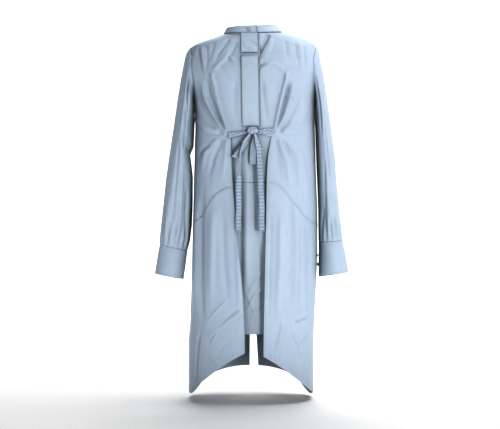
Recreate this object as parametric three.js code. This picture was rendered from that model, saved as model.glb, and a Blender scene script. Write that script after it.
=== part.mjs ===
// Long-sleeved poplin gown: band collar, concealed front placket, tied waist, loose front
// drapes over a recessed centre panel, a pointed hem and an open vent at the back.
// Millimetres, +Z up. The front faces -Y and the wearer's left is +X.
// The origin is the middle of the neck, level with the collar seam at the back.
import * as THREE from 'three';

// ---- Driving dimensions ----
const CLOTH = 1.2; // thickness given to one layer of cloth
const SEAM = 0.45; // half of the gap between two pieces that are sewn edge to edge
const PLY_GAP = 0.35; // gap between two layers that lie on each other

const NECK_HALF_WIDTH = 76;
const NECK_FRONT = 84;
const NECK_BACK = 50;
const NECK_DIP = 14; // how much lower the neckline is in front than behind
const SHOULDER_HALF_WIDTH = 178;
const SHOULDER_DROP = 42;
const CHEST_HALF_WIDTH = 168;
const CHEST_FRONT = 120;
const CHEST_BACK = 103;
const CHEST_DROP = 170;
const HEM_HALF_WIDTH = 183;
const HEM_FRONT = 134;
const HEM_BACK = 130;
const SIDE_LENGTH = 1038; // collar seam to the point of the hem at each side seam

const ARMHOLE_BOTTOM = 200;
const ARMHOLE_HALF_DEPTH = 64;
const YOKE_DROP = 112;
const WAIST_DROP = 300; // the level of the tie
const HIP_SEAM_FRONT = 436;
const HIP_SEAM_SIDE = 557;
const HIP_SEAM_BACK = 500;
const CENTRE_HEM = 862;
const DRAPE_HEM = 905;
const BACK_HEM = 980;

const PLACKET_WIDTH = 46;
const PLACKET_TUCK = 73; // the tuck that ends the sewn-down top of the placket cover
const PLACKET_END = 278;
const BUTTON_RADIUS = 5.5;
const BUTTON_THICKNESS = 2;
const PLACKET_BUTTONS = 4;
const CUFF_BUTTONS = 2;

const COLLAR_HEIGHT = 25;
const COLLAR_LEAN = 13; // how far the top edge of the band stands inside its seam
const COLLAR_OVERLAP = 17; // how far each end of the band passes the middle of the front

const SLEEVE_LENGTH = 617; // level of the cuff seam, on the inner side
const CUFF_DEPTH = 80;
const CUFF_HALF_WIDTH = 44;
const CUFF_HALF_DEPTH = 36;

const TIE_WIDTH = 15;
const TIE_TAIL = 262;
const BOW_LOOP = 78;
const TIE_THICKNESS = 1.6;

const VENT_TOP = 640;
const VENT_OPENING = 25; // how far the two back edges hang apart at the hem
const VENT_SHIFT = 9; // the opening hangs a little to the wearer's left

const POPLIN = 0xb9d2ea;
const POPLIN_SHADE = 0xa3bdd8;
const INTERLINING = 0xe9edf0;
const BUTTON = 0xdfe8f2;
const LABEL = 0xf2f2ee;

const RIGHT = -1; // the wearer's right is -X
const LEFT = 1;
const HALF_TURN = Math.PI;
const QUARTER = Math.PI / 2;

// ---- Small helpers ----
const lerp = (a, b, t) => a + (b - a) * t;
const clamp01 = (t) => Math.min(1, Math.max(0, t));

function smooth(t) {
  const c = clamp01(t);
  return c * c * (3 - 2 * c);
}

// A smooth line through a short list of [height, value] stations.
function profile(stations) {
  const points = stations.map(([z, value]) => new THREE.Vector2(z, value));
  return (z) => {
    const last = points.length - 1;
    let i = 0;
    while (i < last - 1 && z < points[i + 1].x) {
      i += 1;
    }
    const t = clamp01((z - points[i].x) / (points[i + 1].x - points[i].x));
    return lerp(points[i].y, points[i + 1].y, t);
  };
}

// ---- The form that the cloth hangs on: a rounded oblong at every height ----
const halfWidth = profile([
  [0, NECK_HALF_WIDTH],
  [-0.2 * SHOULDER_DROP, lerp(NECK_HALF_WIDTH, SHOULDER_HALF_WIDTH, 0.19)],
  [-0.7 * SHOULDER_DROP, lerp(NECK_HALF_WIDTH, SHOULDER_HALF_WIDTH, 0.74)],
  [-SHOULDER_DROP, SHOULDER_HALF_WIDTH],
  [-YOKE_DROP, lerp(SHOULDER_HALF_WIDTH, CHEST_HALF_WIDTH, 0.5)],
  [-ARMHOLE_BOTTOM, CHEST_HALF_WIDTH],
  [-WAIST_DROP, CHEST_HALF_WIDTH],
  [-HIP_SEAM_SIDE, lerp(CHEST_HALF_WIDTH, HEM_HALF_WIDTH, 0.4)],
  [-SIDE_LENGTH, HEM_HALF_WIDTH],
]);
const frontDepth = profile([
  [0, NECK_FRONT],
  [-PLACKET_TUCK, lerp(NECK_FRONT, CHEST_FRONT, 0.6)],
  [-CHEST_DROP, CHEST_FRONT],
  [-WAIST_DROP, CHEST_FRONT - 2],
  [-HIP_SEAM_SIDE, lerp(CHEST_FRONT, HEM_FRONT, 0.45)],
  [-SIDE_LENGTH, HEM_FRONT],
]);
const backDepth = profile([
  [0, NECK_BACK],
  [-0.6 * SHOULDER_DROP, lerp(NECK_BACK, CHEST_BACK, 0.45)],
  [-YOKE_DROP, lerp(NECK_BACK, CHEST_BACK, 0.88)],
  [-CHEST_DROP, CHEST_BACK],
  [-HIP_SEAM_SIDE, lerp(CHEST_BACK, HEM_BACK, 0.5)],
  [-SIDE_LENGTH, HEM_BACK],
]);
const roundness = (z) => 2 + 0.4 * smooth(-z / YOKE_DROP);

// Angle 0 is the middle of the front, a quarter turn is the wearer's left side.
function bare(angle, z) {
  const power = 2 / roundness(z);
  const across = Math.sin(angle);
  const ahead = Math.cos(angle);
  const depth = ahead > 0 ? frontDepth(z) : backDepth(z);
  const x = halfWidth(z) * Math.sign(across) * Math.abs(across) ** power;
  const y = -depth * Math.sign(ahead) * Math.abs(ahead) ** power;
  return new THREE.Vector3(x, y, z);
}

// The form's outward direction, from two short steps along it.
function outward(angle, z) {
  const step = 0.02;
  const rise = 3;
  const along = bare(angle + step, z).sub(bare(angle - step, z));
  const up = bare(angle, z + rise).sub(bare(angle, z - rise));
  return along.cross(up).normalize();
}

function skin(angle, z, offset) {
  return bare(angle, z).addScaledVector(outward(angle, z), offset);
}

// The angle of the place on the front, or on the back, that lies x from the middle plane.
function angleAt(x, z, back = false) {
  const share = Math.min(1, Math.abs(x) / halfWidth(z));
  const angle = Math.asin(share ** (roundness(z) / 2));
  return Math.sign(x) * (back ? HALF_TURN - angle : angle);
}

function frontSkin(x, z, offset) {
  return skin(angleAt(x, z), z, offset);
}

// ---- Making closed pieces of cloth ----
function finish(geometry) {
  geometry.deleteAttribute('normal');
  geometry.deleteAttribute('uv');
  geometry.computeVertexNormals();
  return geometry;
}

// Turns a geometry inside out if its faces point in.
function faceOut(geometry) {
  const place = geometry.attributes.position;
  const index = geometry.index;
  const [a, b, c] = [new THREE.Vector3(), new THREE.Vector3(), new THREE.Vector3()];
  let volume = 0;
  for (let i = 0; i < index.count; i += 3) {
    a.fromBufferAttribute(place, index.getX(i));
    b.fromBufferAttribute(place, index.getX(i + 1));
    c.fromBufferAttribute(place, index.getX(i + 2));
    volume += a.dot(b.cross(c));
  }
  if (volume < 0) {
    for (let i = 0; i < index.count; i += 3) {
      const first = index.getX(i);
      index.setX(i, index.getX(i + 1));
      index.setX(i + 1, first);
    }
  }
  return finish(geometry);
}

// A flat board of cloth bent into place: at(s, t, w) gives the place of the point that lies
// s across, t down and w through the thickness, each from 0 to 1.
function sheet(columns, rows, at) {
  const geometry = new THREE.BoxGeometry(1, 1, 1, columns, rows, 1);
  const place = geometry.attributes.position;
  for (let i = 0; i < place.count; i += 1) {
    const p = at(place.getX(i) + 0.5, 0.5 - place.getY(i), place.getZ(i) + 0.5);
    place.setXYZ(i, p.x, p.y, p.z);
  }
  return faceOut(geometry);
}

// A tube of cloth: at(turn, t, w) with turn in radians, t down and w through the wall.
function tube(sides, rows, at) {
  const rim = [];
  for (let row = 0; row <= rows; row += 1) {
    rim.push(new THREE.Vector2(2, -row));
  }
  for (let row = rows; row >= 0; row -= 1) {
    rim.push(new THREE.Vector2(1, -row));
  }
  rim.push(rim[0].clone());
  const geometry = new THREE.LatheGeometry(rim, sides);
  const place = geometry.attributes.position;
  const corner = rim.length;
  for (let i = 0; i < place.count; i += 1) {
    const turn = (2 * HALF_TURN * (Math.floor(i / corner) % sides)) / sides;
    const point = rim[i % corner];
    const p = at(turn, -point.y / rows, point.x - 1);
    place.setXYZ(i, p.x, p.y, p.z);
  }
  return faceOut(geometry);
}

const group = new THREE.Group();
function add(name, geometry, color, parent = group) {
  const material = new THREE.MeshStandardMaterial({ color, roughness: 0.85, metalness: 0 });
  const mesh = new THREE.Mesh(geometry, material);
  mesh.name = name;
  parent.add(mesh);
  return mesh;
}

const sideName = (side) => (side === LEFT ? 'left' : 'right');

// ---- Seam lines ----
const neckline = (angle) => -NECK_DIP * 0.5 * (1 + Math.cos(angle));

// The armhole's half depth, front to back, at a height. It is 0 above and below the armhole.
function armhole(z) {
  const middle = (SHOULDER_DROP + ARMHOLE_BOTTOM) / 2;
  const half = (ARMHOLE_BOTTOM - SHOULDER_DROP) / 2;
  const share = Math.min(1, Math.abs(z + middle) / half);
  return ARMHOLE_HALF_DEPTH * Math.sqrt(1 - share ** 2);
}

// The angle of the armhole's edge, or of the side seam where there is no armhole.
function sideAngle(z, back) {
  const reach = armhole(z);
  const depth = back ? backDepth(z) : frontDepth(z);
  const angle = Math.acos((reach / depth) ** (roundness(z) / 2));
  return back ? HALF_TURN - angle : angle;
}

// The front hip seam runs level across the middle and swings down to the side seam.
function hipSeam(angle) {
  const start = 0.3 * QUARTER;
  const share = Math.max(0, (angle - start) / (QUARTER - start));
  return -lerp(HIP_SEAM_FRONT, HIP_SEAM_SIDE, share ** 1.5);
}

const hipSeamBack = (angle) => -lerp(HIP_SEAM_SIDE, HIP_SEAM_BACK, smooth((angle - QUARTER) / QUARTER));
const frontHem = (x) => {
  const share = Math.abs(x) / HEM_HALF_WIDTH;
  return -lerp(DRAPE_HEM, SIDE_LENGTH, 0.58 * share + 0.42 * share ** 2);
};
const backHem = (angle) => {
  const share = (angle - QUARTER) / QUARTER;
  const dip = 20 * Math.sin(HALF_TURN * Math.min(1, 2 * share));
  return -lerp(SIDE_LENGTH, BACK_HEM, smooth(share)) - dip;
};

// The drape's free edge runs from the tie to the hem, a little differently on each side.
const FREE_EDGE = {
  [RIGHT]: { top: 57, bottom: 17, power: 1 },
  [LEFT]: { top: 62, bottom: 35, power: 2.4 },
};
function freeEdge(side, z) {
  const edge = FREE_EDGE[side];
  const share = clamp01((z + DRAPE_HEM + 20) / (DRAPE_HEM + 20 - WAIST_DROP));
  return lerp(edge.bottom, edge.top, share ** edge.power);
}

// ---- Collar ----
const COLLAR_STACK = 3 * CLOTH + 3 * PLY_GAP + 0.5;
const overlapAngle = angleAt(COLLAR_OVERLAP, -NECK_DIP);

// A place on the band: its angle round the neck, its rise above the seam and its level outward.
function onBand(angle, rise, out) {
  const lift = COLLAR_STACK * smooth((angle - 1.6 * HALF_TURN) / (0.3 * HALF_TURN));
  const place = bare(angle, neckline(angle));
  const away = new THREE.Vector3(place.x, place.y + (NECK_FRONT - NECK_BACK) / 2, 0).normalize();
  const lean = (COLLAR_LEAN * rise) / COLLAR_HEIGHT;
  place.addScaledVector(away, out + lift - COLLAR_STACK / 2 - lean);
  place.z += rise;
  return place;
}

// The band starts under itself, goes round the wearer's left and ends on top of itself.
function collarBand(layer) {
  return sheet(34, 2, (s, t, w) => {
    const angle = lerp(-overlapAngle, 2 * HALF_TURN + overlapAngle, s);
    const rise = lerp(COLLAR_HEIGHT, CLOTH + PLY_GAP, t);
    return onBand(angle, rise, layer * (CLOTH + PLY_GAP) + w * CLOTH);
  });
}
add('collar_band_inner', collarBand(0), POPLIN_SHADE);
add('collar_interlining', collarBand(1), INTERLINING);
add('collar_band_outer', collarBand(2), POPLIN);

// A blank cloth label inside the back of the band.
const LABEL_HALF_ANGLE = 0.4;
const LABEL_THICKNESS = 0.6;
add('neck_label', sheet(4, 1, (s, t, w) => {
  const angle = HALF_TURN + lerp(-LABEL_HALF_ANGLE, LABEL_HALF_ANGLE, s);
  const rise = lerp(COLLAR_HEIGHT - 5, 6, t);
  return onBand(angle, rise, -2 * PLY_GAP - LABEL_THICKNESS * (1 - w));
}), LABEL);

// ---- Bodice ----
const placketMiddle = (z) => lerp(-5, 0, clamp01(-z / WAIST_DROP));
const coverEdge = (z) => placketMiddle(z) - PLACKET_WIDTH / 2; // the sewn edge, at the wearer's right
const closingEdge = (z) => placketMiddle(z) + PLACKET_WIDTH / 2;

// The inner edge of each front: along the placket, then out to the tie and down the free edge.
function frontEdge(side, z) {
  const placket = side === RIGHT ? -coverEdge(z) + SEAM : closingEdge(z) + SEAM;
  const turn = smooth((-z - WAIST_DROP - 6) / 16);
  return lerp(placket, freeEdge(side, z), turn);
}

// The front and the skirt share the points of the hip seam: share 0 is the drape's free edge
// and share 1 the side seam.
const SEAM_COLUMNS = 8;
function hipSeamAngle(side, share) {
  return lerp(angleAt(freeEdge(side, -HIP_SEAM_FRONT), -HIP_SEAM_FRONT), QUARTER, share);
}

function frontPanel(side) {
  return sheet(SEAM_COLUMNS, 17, (s, t, w) => {
    const top = neckline(lerp(angleAt(frontEdge(side, -60), -60), QUARTER, s));
    const z = lerp(top, hipSeam(hipSeamAngle(side, s)) + SEAM, t);
    const inner = lerp(angleAt(frontEdge(side, z), z), hipSeamAngle(side, 0), smooth(6 * t - 5));
    const angle = lerp(inner, sideAngle(z, false) - 0.002, s);
    return skin(side * angle, z, w * CLOTH);
  });
}
add('front_right', frontPanel(RIGHT), POPLIN);
add('front_left', frontPanel(LEFT), POPLIN);

const BACK_COLUMNS = 12; // from a side seam to the middle of the back
function backYoke() {
  return sheet(2 * BACK_COLUMNS, 6, (s, t, w) => {
    const side = s < 0.5 ? LEFT : RIGHT;
    const across = 1 - Math.abs(2 * s - 1);
    const guess = lerp(QUARTER, HALF_TURN, across);
    const z = lerp(neckline(guess), -YOKE_DROP, t);
    const angle = lerp(sideAngle(z, true) + 0.002, HALF_TURN, across);
    return skin(side * angle, z, w * CLOTH);
  });
}
add('back_yoke', backYoke(), POPLIN);

function backBodice() {
  return sheet(2 * BACK_COLUMNS, 15, (s, t, w) => {
    const side = s < 0.5 ? LEFT : RIGHT;
    const across = 1 - Math.abs(2 * s - 1);
    const guess = lerp(QUARTER, HALF_TURN, across);
    const z = lerp(-YOKE_DROP - SEAM, hipSeamBack(guess) + SEAM, t);
    const angle = lerp(sideAngle(z, true) + 0.002, HALF_TURN, across);
    return skin(side * angle, z, w * CLOTH);
  });
}
add('back_bodice', backBodice(), POPLIN);

// ---- Placket ----
const placketRows = 10;
function placketStrip(left, right, top, bottom, offset, thickness, rows = placketRows) {
  return sheet(3, rows, (s, t, w) => {
    const z = lerp(top, bottom, t);
    return frontSkin(lerp(left(z), right(z), s), z, offset + w * thickness);
  });
}
const placketTop = -NECK_DIP - 1;
const placketEnd = -WAIST_DROP + 4;
const STAND_LEVEL = -CLOTH - 1.2;
const STRIP_LEVEL = STAND_LEVEL + CLOTH + PLY_GAP;
const BUTTON_LEVEL = STRIP_LEVEL + CLOTH + PLY_GAP;
const INNER_COVER_LEVEL = BUTTON_LEVEL + BUTTON_THICKNESS + PLY_GAP;
const COVER_LEVEL = INNER_COVER_LEVEL + CLOTH + PLY_GAP;

add('button_stand', placketStrip(
  (z) => placketMiddle(z) - 12, (z) => closingEdge(z) + 8,
  placketTop, placketEnd, STAND_LEVEL, CLOTH,
), POPLIN_SHADE);
add('buttonhole_strip', placketStrip(
  (z) => coverEdge(z), (z) => closingEdge(z) - 3,
  placketTop, placketEnd, STRIP_LEVEL, CLOTH,
), POPLIN_SHADE);
add('placket_top', placketStrip(
  coverEdge, closingEdge, placketTop, -PLACKET_TUCK, INNER_COVER_LEVEL, 2 * CLOTH, 3,
), POPLIN);
add('placket_interlining', placketStrip(
  (z) => coverEdge(z) + 2, (z) => closingEdge(z) - 2,
  -PLACKET_TUCK - 3, -PLACKET_END + 2, INNER_COVER_LEVEL, CLOTH,
), INTERLINING);
add('placket_cover', placketStrip(
  coverEdge, closingEdge, -PLACKET_TUCK - 1, -PLACKET_END, COVER_LEVEL, CLOTH,
), POPLIN);

// A button is a low disc with its axis along the form's outward direction.
function button(place, direction, radius) {
  const disc = new THREE.CylinderGeometry(radius, radius, BUTTON_THICKNESS, 12);
  disc.translate(0, BUTTON_THICKNESS / 2, 0);
  const turn = new THREE.Quaternion().setFromUnitVectors(new THREE.Vector3(0, 1, 0), direction);
  disc.applyQuaternion(turn);
  disc.translate(place.x, place.y, place.z);
  return finish(disc);
}
for (let i = 0; i < PLACKET_BUTTONS; i += 1) {
  const z = lerp(-PLACKET_TUCK - 22, -PLACKET_END + 22, i / (PLACKET_BUTTONS - 1));
  const angle = angleAt(placketMiddle(z), z);
  add(`placket_button_${i + 1}`, button(skin(angle, z, BUTTON_LEVEL + 0.05), outward(angle, z), BUTTON_RADIUS), BUTTON);
}

// ---- Recessed centre of the front ----
const CENTRE_HALF_WIDTH = 92; // reaches under the drapes on both sides
function centreSkin(across, z, w) {
  const middle = 1 - smooth(Math.abs(across) / CENTRE_HALF_WIDTH);
  const drop = -z - WAIST_DROP;
  const fall = clamp01(drop / (CENTRE_HEM - WAIST_DROP));
  const recess = 0.5 + 3.5 * smooth(drop / 70) + 18 * fall * middle;
  return frontSkin(across, z, STAND_LEVEL - recess + w * CLOTH);
}
add('centre_bodice', sheet(8, 4, (s, t, w) => {
  const z = lerp(placketEnd - SEAM, -HIP_SEAM_FRONT + SEAM / 2, t);
  return centreSkin(lerp(-CENTRE_HALF_WIDTH, CENTRE_HALF_WIDTH, s), z, w);
}), POPLIN_SHADE);
add('centre_skirt', sheet(8, 9, (s, t, w) => {
  const z = lerp(-HIP_SEAM_FRONT - SEAM / 2, -CENTRE_HEM, t);
  return centreSkin(lerp(-CENTRE_HALF_WIDTH, CENTRE_HALF_WIDTH, s), z, w);
}), POPLIN_SHADE);

// ---- Front skirt: a side part, and a drape that can fold open along a slanted line ----
const FOLD_TOP = -HIP_SEAM_FRONT - 6;
const FOLD_FOOT_X = 150;
const FOLD_FOOT = { x: FOLD_FOOT_X, z: frontHem(FOLD_FOOT_X) };
function foldX(side, z) {
  const top = bare(hipSeamAngle(side, 1 / SEAM_COLUMNS), FOLD_TOP).x;
  return lerp(top, FOLD_FOOT.x, (z - FOLD_TOP) / (FOLD_FOOT.z - FOLD_TOP));
}

function skirtSide(side) {
  return sheet(SEAM_COLUMNS - 1, 12, (s, t, w) => {
    const topAngle = hipSeamAngle(side, lerp(1 / SEAM_COLUMNS, 1, s));
    const bottomX = lerp(FOLD_FOOT.x, HEM_HALF_WIDTH, Math.sqrt(s));
    const z = lerp(hipSeam(topAngle) - 1.5 * SEAM, frontHem(bottomX), t);
    const foldZ = lerp(-HIP_SEAM_FRONT, FOLD_FOOT.z, t);
    const spread = angleAt(foldX(side, foldZ), foldZ) - hipSeamAngle(side, 1 / SEAM_COLUMNS);
    return skin(side * (topAngle + (spread + 0.004) * (1 - s) - 0.002 * s), z, w * CLOTH);
  });
}
function frontDrape(side) {
  return sheet(6, 12, (s, t, w) => {
    const foot = lerp(freeEdge(side, -DRAPE_HEM), FOLD_FOOT.x, s);
    const z = lerp(hipSeam(0) - SEAM, frontHem(foot), t);
    const x = lerp(freeEdge(side, z), foldX(side, z) - SEAM, s);
    return skin(side * angleAt(x, z), z, w * CLOTH);
  });
}
for (const side of [RIGHT, LEFT]) {
  add(`skirt_side_${sideName(side)}`, skirtSide(side), POPLIN);
  add(`front_drape_${sideName(side)}`, frontDrape(side), POPLIN);
}

// ---- Back skirt: two panels with a vent between them, and a flap at each edge of it ----
const VENT_FOLD_FOOT = { x: 110, z: -BACK_HEM - 16 };
const VENT_FLAP_TOP = -VENT_TOP - 30;
const VENT_ROWS_ABOVE = 3;
const BACK_ROWS = 12;

// The line that a flap folds on starts at the top of the vent and slants out to the hem.
const ventFold = (z) => VENT_FOLD_FOOT.x * clamp01((z + VENT_TOP) / (VENT_FOLD_FOOT.z + VENT_TOP));
function ventEdge(side, z) {
  const open = clamp01((-z - VENT_TOP) / (BACK_HEM - VENT_TOP));
  return SEAM + open * (VENT_OPENING / 2 + side * VENT_SHIFT);
}

function backSkirt(side) {
  return sheet(BACK_COLUMNS, BACK_ROWS, (s, t, w) => {
    const top = hipSeamBack(lerp(QUARTER, HALF_TURN, s)) - SEAM;
    const foot = lerp(QUARTER, angleAt(VENT_FOLD_FOOT.x, VENT_FOLD_FOOT.z, true), s);
    const above = t * (BACK_ROWS / VENT_ROWS_ABOVE);
    const below = (t * BACK_ROWS - VENT_ROWS_ABOVE) / (BACK_ROWS - VENT_ROWS_ABOVE);
    const z = above <= 1 ? lerp(top, -VENT_TOP, above) : lerp(-VENT_TOP, backHem(foot), below);
    const inner = angleAt(ventFold(z) + SEAM, z, true);
    return skin(side * lerp(QUARTER + 0.002, inner, s), z, w * CLOTH);
  });
}
function backVent(side) {
  return sheet(5, 8, (s, t, w) => {
    const foot = lerp(VENT_FOLD_FOOT.x, ventEdge(side, -BACK_HEM), s);
    const z = lerp(VENT_FLAP_TOP, backHem(angleAt(foot, -BACK_HEM, true)), t);
    const x = lerp(ventFold(z) - SEAM, ventEdge(side, z), s);
    return skin(side * angleAt(x, z, true), z, w * CLOTH);
  });
}
for (const side of [RIGHT, LEFT]) {
  add(`back_skirt_${sideName(side)}`, backSkirt(side), POPLIN);
  add(`back_vent_${sideName(side)}`, backVent(side), POPLIN);
}

// ---- Tie ----
const KNOT = { x: 4, halfWidth: 14, halfHeight: 11, halfDepth: 7.5, power: 0.35 };
const knotMiddle = frontSkin(KNOT.x, -WAIST_DROP + 9, STRIP_LEVEL + CLOTH + PLY_GAP + KNOT.halfDepth);
function bowKnot() {
  const ball = new THREE.SphereGeometry(1, 12, 8);
  const place = ball.attributes.position;
  const square = (v) => Math.sign(v) * Math.abs(v) ** KNOT.power;
  for (let i = 0; i < place.count; i += 1) {
    const x = knotMiddle.x + KNOT.halfWidth * square(place.getX(i));
    const y = knotMiddle.y + KNOT.halfDepth * square(place.getZ(i));
    place.setXYZ(i, x, y, knotMiddle.z + KNOT.halfHeight * square(place.getY(i)));
  }
  return faceOut(ball);
}
add('bow_knot', bowKnot(), POPLIN_SHADE);

function tieStrap(side) {
  return sheet(6, 1, (s, t, w) => {
    const start = KNOT.x + side * (KNOT.halfWidth + PLY_GAP);
    const x = lerp(start, side * (freeEdge(side, -WAIST_DROP) + 4), s);
    const z = -WAIST_DROP + lerp(TIE_WIDTH, 0, t);
    return frontSkin(x, z, CLOTH + 2 * PLY_GAP + w * TIE_THICKNESS);
  });
}
for (const side of [RIGHT, LEFT]) {
  add(`tie_strap_${sideName(side)}`, tieStrap(side), POPLIN);
}

// The ribbon ends leave the knot side by side under it, tails in front and loops behind.
const UNDER_KNOT = knotMiddle.z - KNOT.halfHeight - PLY_GAP;
const RIBBON_START = 6.5; // from the middle of the knot to the middle of each ribbon
const PINCHED_HALF = 3; // half the width of a ribbon where the knot pinches it
const ribbonHalf = (t) => lerp(PINCHED_HALF, TIE_WIDTH / 2, smooth(t * 6));

// Each tail hangs straight down in front of the gown.
const TAIL_FOOT = { [RIGHT]: -30, [LEFT]: 30 };
const TAIL_LEVEL = knotMiddle.y - 4.5;
function tieTail(side) {
  return sheet(1, 8, (s, t, w) => {
    const fall = t ** 1.5;
    const middle = lerp(KNOT.x + side * RIBBON_START, TAIL_FOOT[side], Math.sqrt(fall));
    const x = middle + lerp(-1, 1, s) * ribbonHalf(fall);
    const y = TAIL_LEVEL - 2.5 * smooth(fall * 8) - w * TIE_THICKNESS;
    return new THREE.Vector3(x, y, UNDER_KNOT - fall * TIE_TAIL);
  });
}

// Each loop is a flattened ring of ribbon that hangs from the knot at its own slant.
const LOOP_SLANT = { [RIGHT]: -0.52, [LEFT]: 0.02 };
const LOOP_LEVEL = knotMiddle.y + 3;
const LOOP_HALF_DEPTH = 4;
const LOOP_CLEAR = 0.3; // lets a loop swing a little under the knot
function bowLoop(side) {
  const ring = tube(14, 1, (turn, t, w) => {
    const high = (BOW_LOOP / 2 - TIE_THICKNESS * w) * (Math.cos(turn) - 1);
    const deep = (LOOP_HALF_DEPTH - TIE_THICKNESS * w) * Math.sin(turn);
    const half = ribbonHalf(-high / BOW_LOOP);
    return new THREE.Vector3(lerp(-half, half, t), deep, high - TIE_THICKNESS * w);
  });
  ring.rotateY(-LOOP_SLANT[side]);
  const rise = PINCHED_HALF * Math.abs(Math.sin(LOOP_SLANT[side]));
  ring.translate(KNOT.x + side * RIBBON_START, LOOP_LEVEL, UNDER_KNOT - LOOP_CLEAR - rise);
  return ring;
}
for (const side of [RIGHT, LEFT]) {
  add(`tie_tail_${sideName(side)}`, tieTail(side), POPLIN);
  add(`bow_loop_${sideName(side)}`, bowLoop(side), POPLIN);
}

// ---- Sleeves ----
const SLEEVE_CLEAR = 0.9; // gap between the sleeve's edge and the body
const SLEEVE_FULLNESS = 12; // how much deeper the sleeve is than the cuff it is gathered into
// The inner edge of a hanging sleeve, as [drop, distance outside the body] stations.
const innerLine = new THREE.CatmullRomCurve3([
  [ARMHOLE_BOTTOM, 1],
  [ARMHOLE_BOTTOM + 45, 7],
  [300, 12],
  [400, 12],
  [510, 10],
  [SLEEVE_LENGTH, 11],
].map(([drop, clear]) => new THREE.Vector3(halfWidth(-drop) + clear, 0, -drop)));
const wristOuter = halfWidth(-SLEEVE_LENGTH) + 11 + 2 * CUFF_HALF_WIDTH - 4;
// The outer edge, as [from the middle plane, height] stations.
const outerLine = new THREE.CatmullRomCurve3([
  [SHOULDER_HALF_WIDTH, -SHOULDER_DROP],
  [SHOULDER_HALF_WIDTH + 19, -SHOULDER_DROP - 45],
  [SHOULDER_HALF_WIDTH + 42, -ARMHOLE_BOTTOM],
  [SHOULDER_HALF_WIDTH + 60, -345],
  [SHOULDER_HALF_WIDTH + 78, -490],
  [wristOuter, -SLEEVE_LENGTH + 8],
].map(([x, z]) => new THREE.Vector3(x, 0, z)));
const SLEEVE_FORWARD = 12; // how far the wrist hangs in front of the shoulder

// Where the sleeve's edge meets the body, just outside the armhole.
function armholePoint(turn) {
  const middle = (SHOULDER_DROP + ARMHOLE_BOTTOM) / 2;
  const z = -middle + ((ARMHOLE_BOTTOM - SHOULDER_DROP) / 2) * Math.cos(turn);
  const reach = ARMHOLE_HALF_DEPTH * Math.sin(turn);
  const angle = sideAngle(z, reach < 0);
  const edge = bare(angle, z);
  edge.x += (CLOTH + SLEEVE_CLEAR) / outward(angle, z).x;
  return edge;
}

function onSleeve(side, turn, t, inset) {
  const outer = outerLine.getPoint(t);
  const inner = innerLine.getPoint(t);
  const middle = outer.clone().add(inner).multiplyScalar(0.5);
  const half = outer.sub(inner).multiplyScalar(0.5);
  const gather = SLEEVE_FULLNESS * (1 - smooth((t - 0.9) / 0.1));
  const depth = lerp(ARMHOLE_HALF_DEPTH, CUFF_HALF_DEPTH, smooth(t * 1.1)) + gather * t;
  const width = half.length() - inset;
  const place = middle.clone().addScaledVector(half.normalize(), width * Math.cos(turn));
  place.y -= (depth - inset) * Math.sin(turn) + SLEEVE_FORWARD * t * t;
  const settle = (1 - clamp01(t / 0.3)) ** 2;
  const start = outerLine.getPoint(0).add(innerLine.getPoint(0)).multiplyScalar(0.5);
  const flat = outerLine.getPoint(0).sub(innerLine.getPoint(0)).multiplyScalar(0.5 * Math.cos(turn)).add(start);
  flat.y = -ARMHOLE_HALF_DEPTH * Math.sin(turn);
  place.addScaledVector(armholePoint(turn).sub(flat), settle);
  place.x *= side;
  return place;
}
const SLEEVE_SIDES = 16;
const SLEEVE_ROWS = 12;
const LAP_SIDE = 9; // the side of the sleeve and cuff, counted round from the outside, that laps over
const lapTurn = (s) => (2 * HALF_TURN * (LAP_SIDE + s)) / SLEEVE_SIDES;

// The binding of the wrist slit covers the last two rows of one side of the sleeve.
function slitBinding(side) {
  return sheet(1, 2, (s, t, w) => {
    const down = lerp(1 - 2 / SLEEVE_ROWS, 1, t);
    return onSleeve(side, lapTurn(s), down, -PLY_GAP - CLOTH * w);
  });
}
for (const side of [RIGHT, LEFT]) {
  const wall = tube(SLEEVE_SIDES, SLEEVE_ROWS, (turn, t, w) => onSleeve(side, turn, t, CLOTH * w));
  add(`sleeve_${sideName(side)}`, wall, POPLIN);
  add(`slit_binding_${sideName(side)}`, slitBinding(side), POPLIN_SHADE);
}

// ---- Cuffs ----
// Levels of the cuff's plies, outward from the wrist.
const CUFF_LEVELS = [0, CLOTH + PLY_GAP, 2 * (CLOTH + PLY_GAP)];
const CUFF_TILT = 0.1; // the cuff's foot swings outward and forward
const cuffTop = outerLine.getPoint(1).add(innerLine.getPoint(1)).multiplyScalar(0.5);

// A place on a closed cuff: turn 0 is its outer side, t runs down its depth.
function onCuff(side, turn, t, level) {
  const down = lerp(1.2, CUFF_DEPTH, t);
  const width = CUFF_HALF_WIDTH - 2 * (CLOTH + PLY_GAP) + level;
  const depth = CUFF_HALF_DEPTH - 2 * (CLOTH + PLY_GAP) + level;
  const x = cuffTop.x + width * Math.cos(turn) + down * CUFF_TILT;
  const y = -SLEEVE_FORWARD - depth * Math.sin(turn) - down * CUFF_TILT;
  const z = cuffTop.z + 0.09 * width * Math.cos(turn) - down;
  return new THREE.Vector3(side * x, y, z);
}
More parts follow.
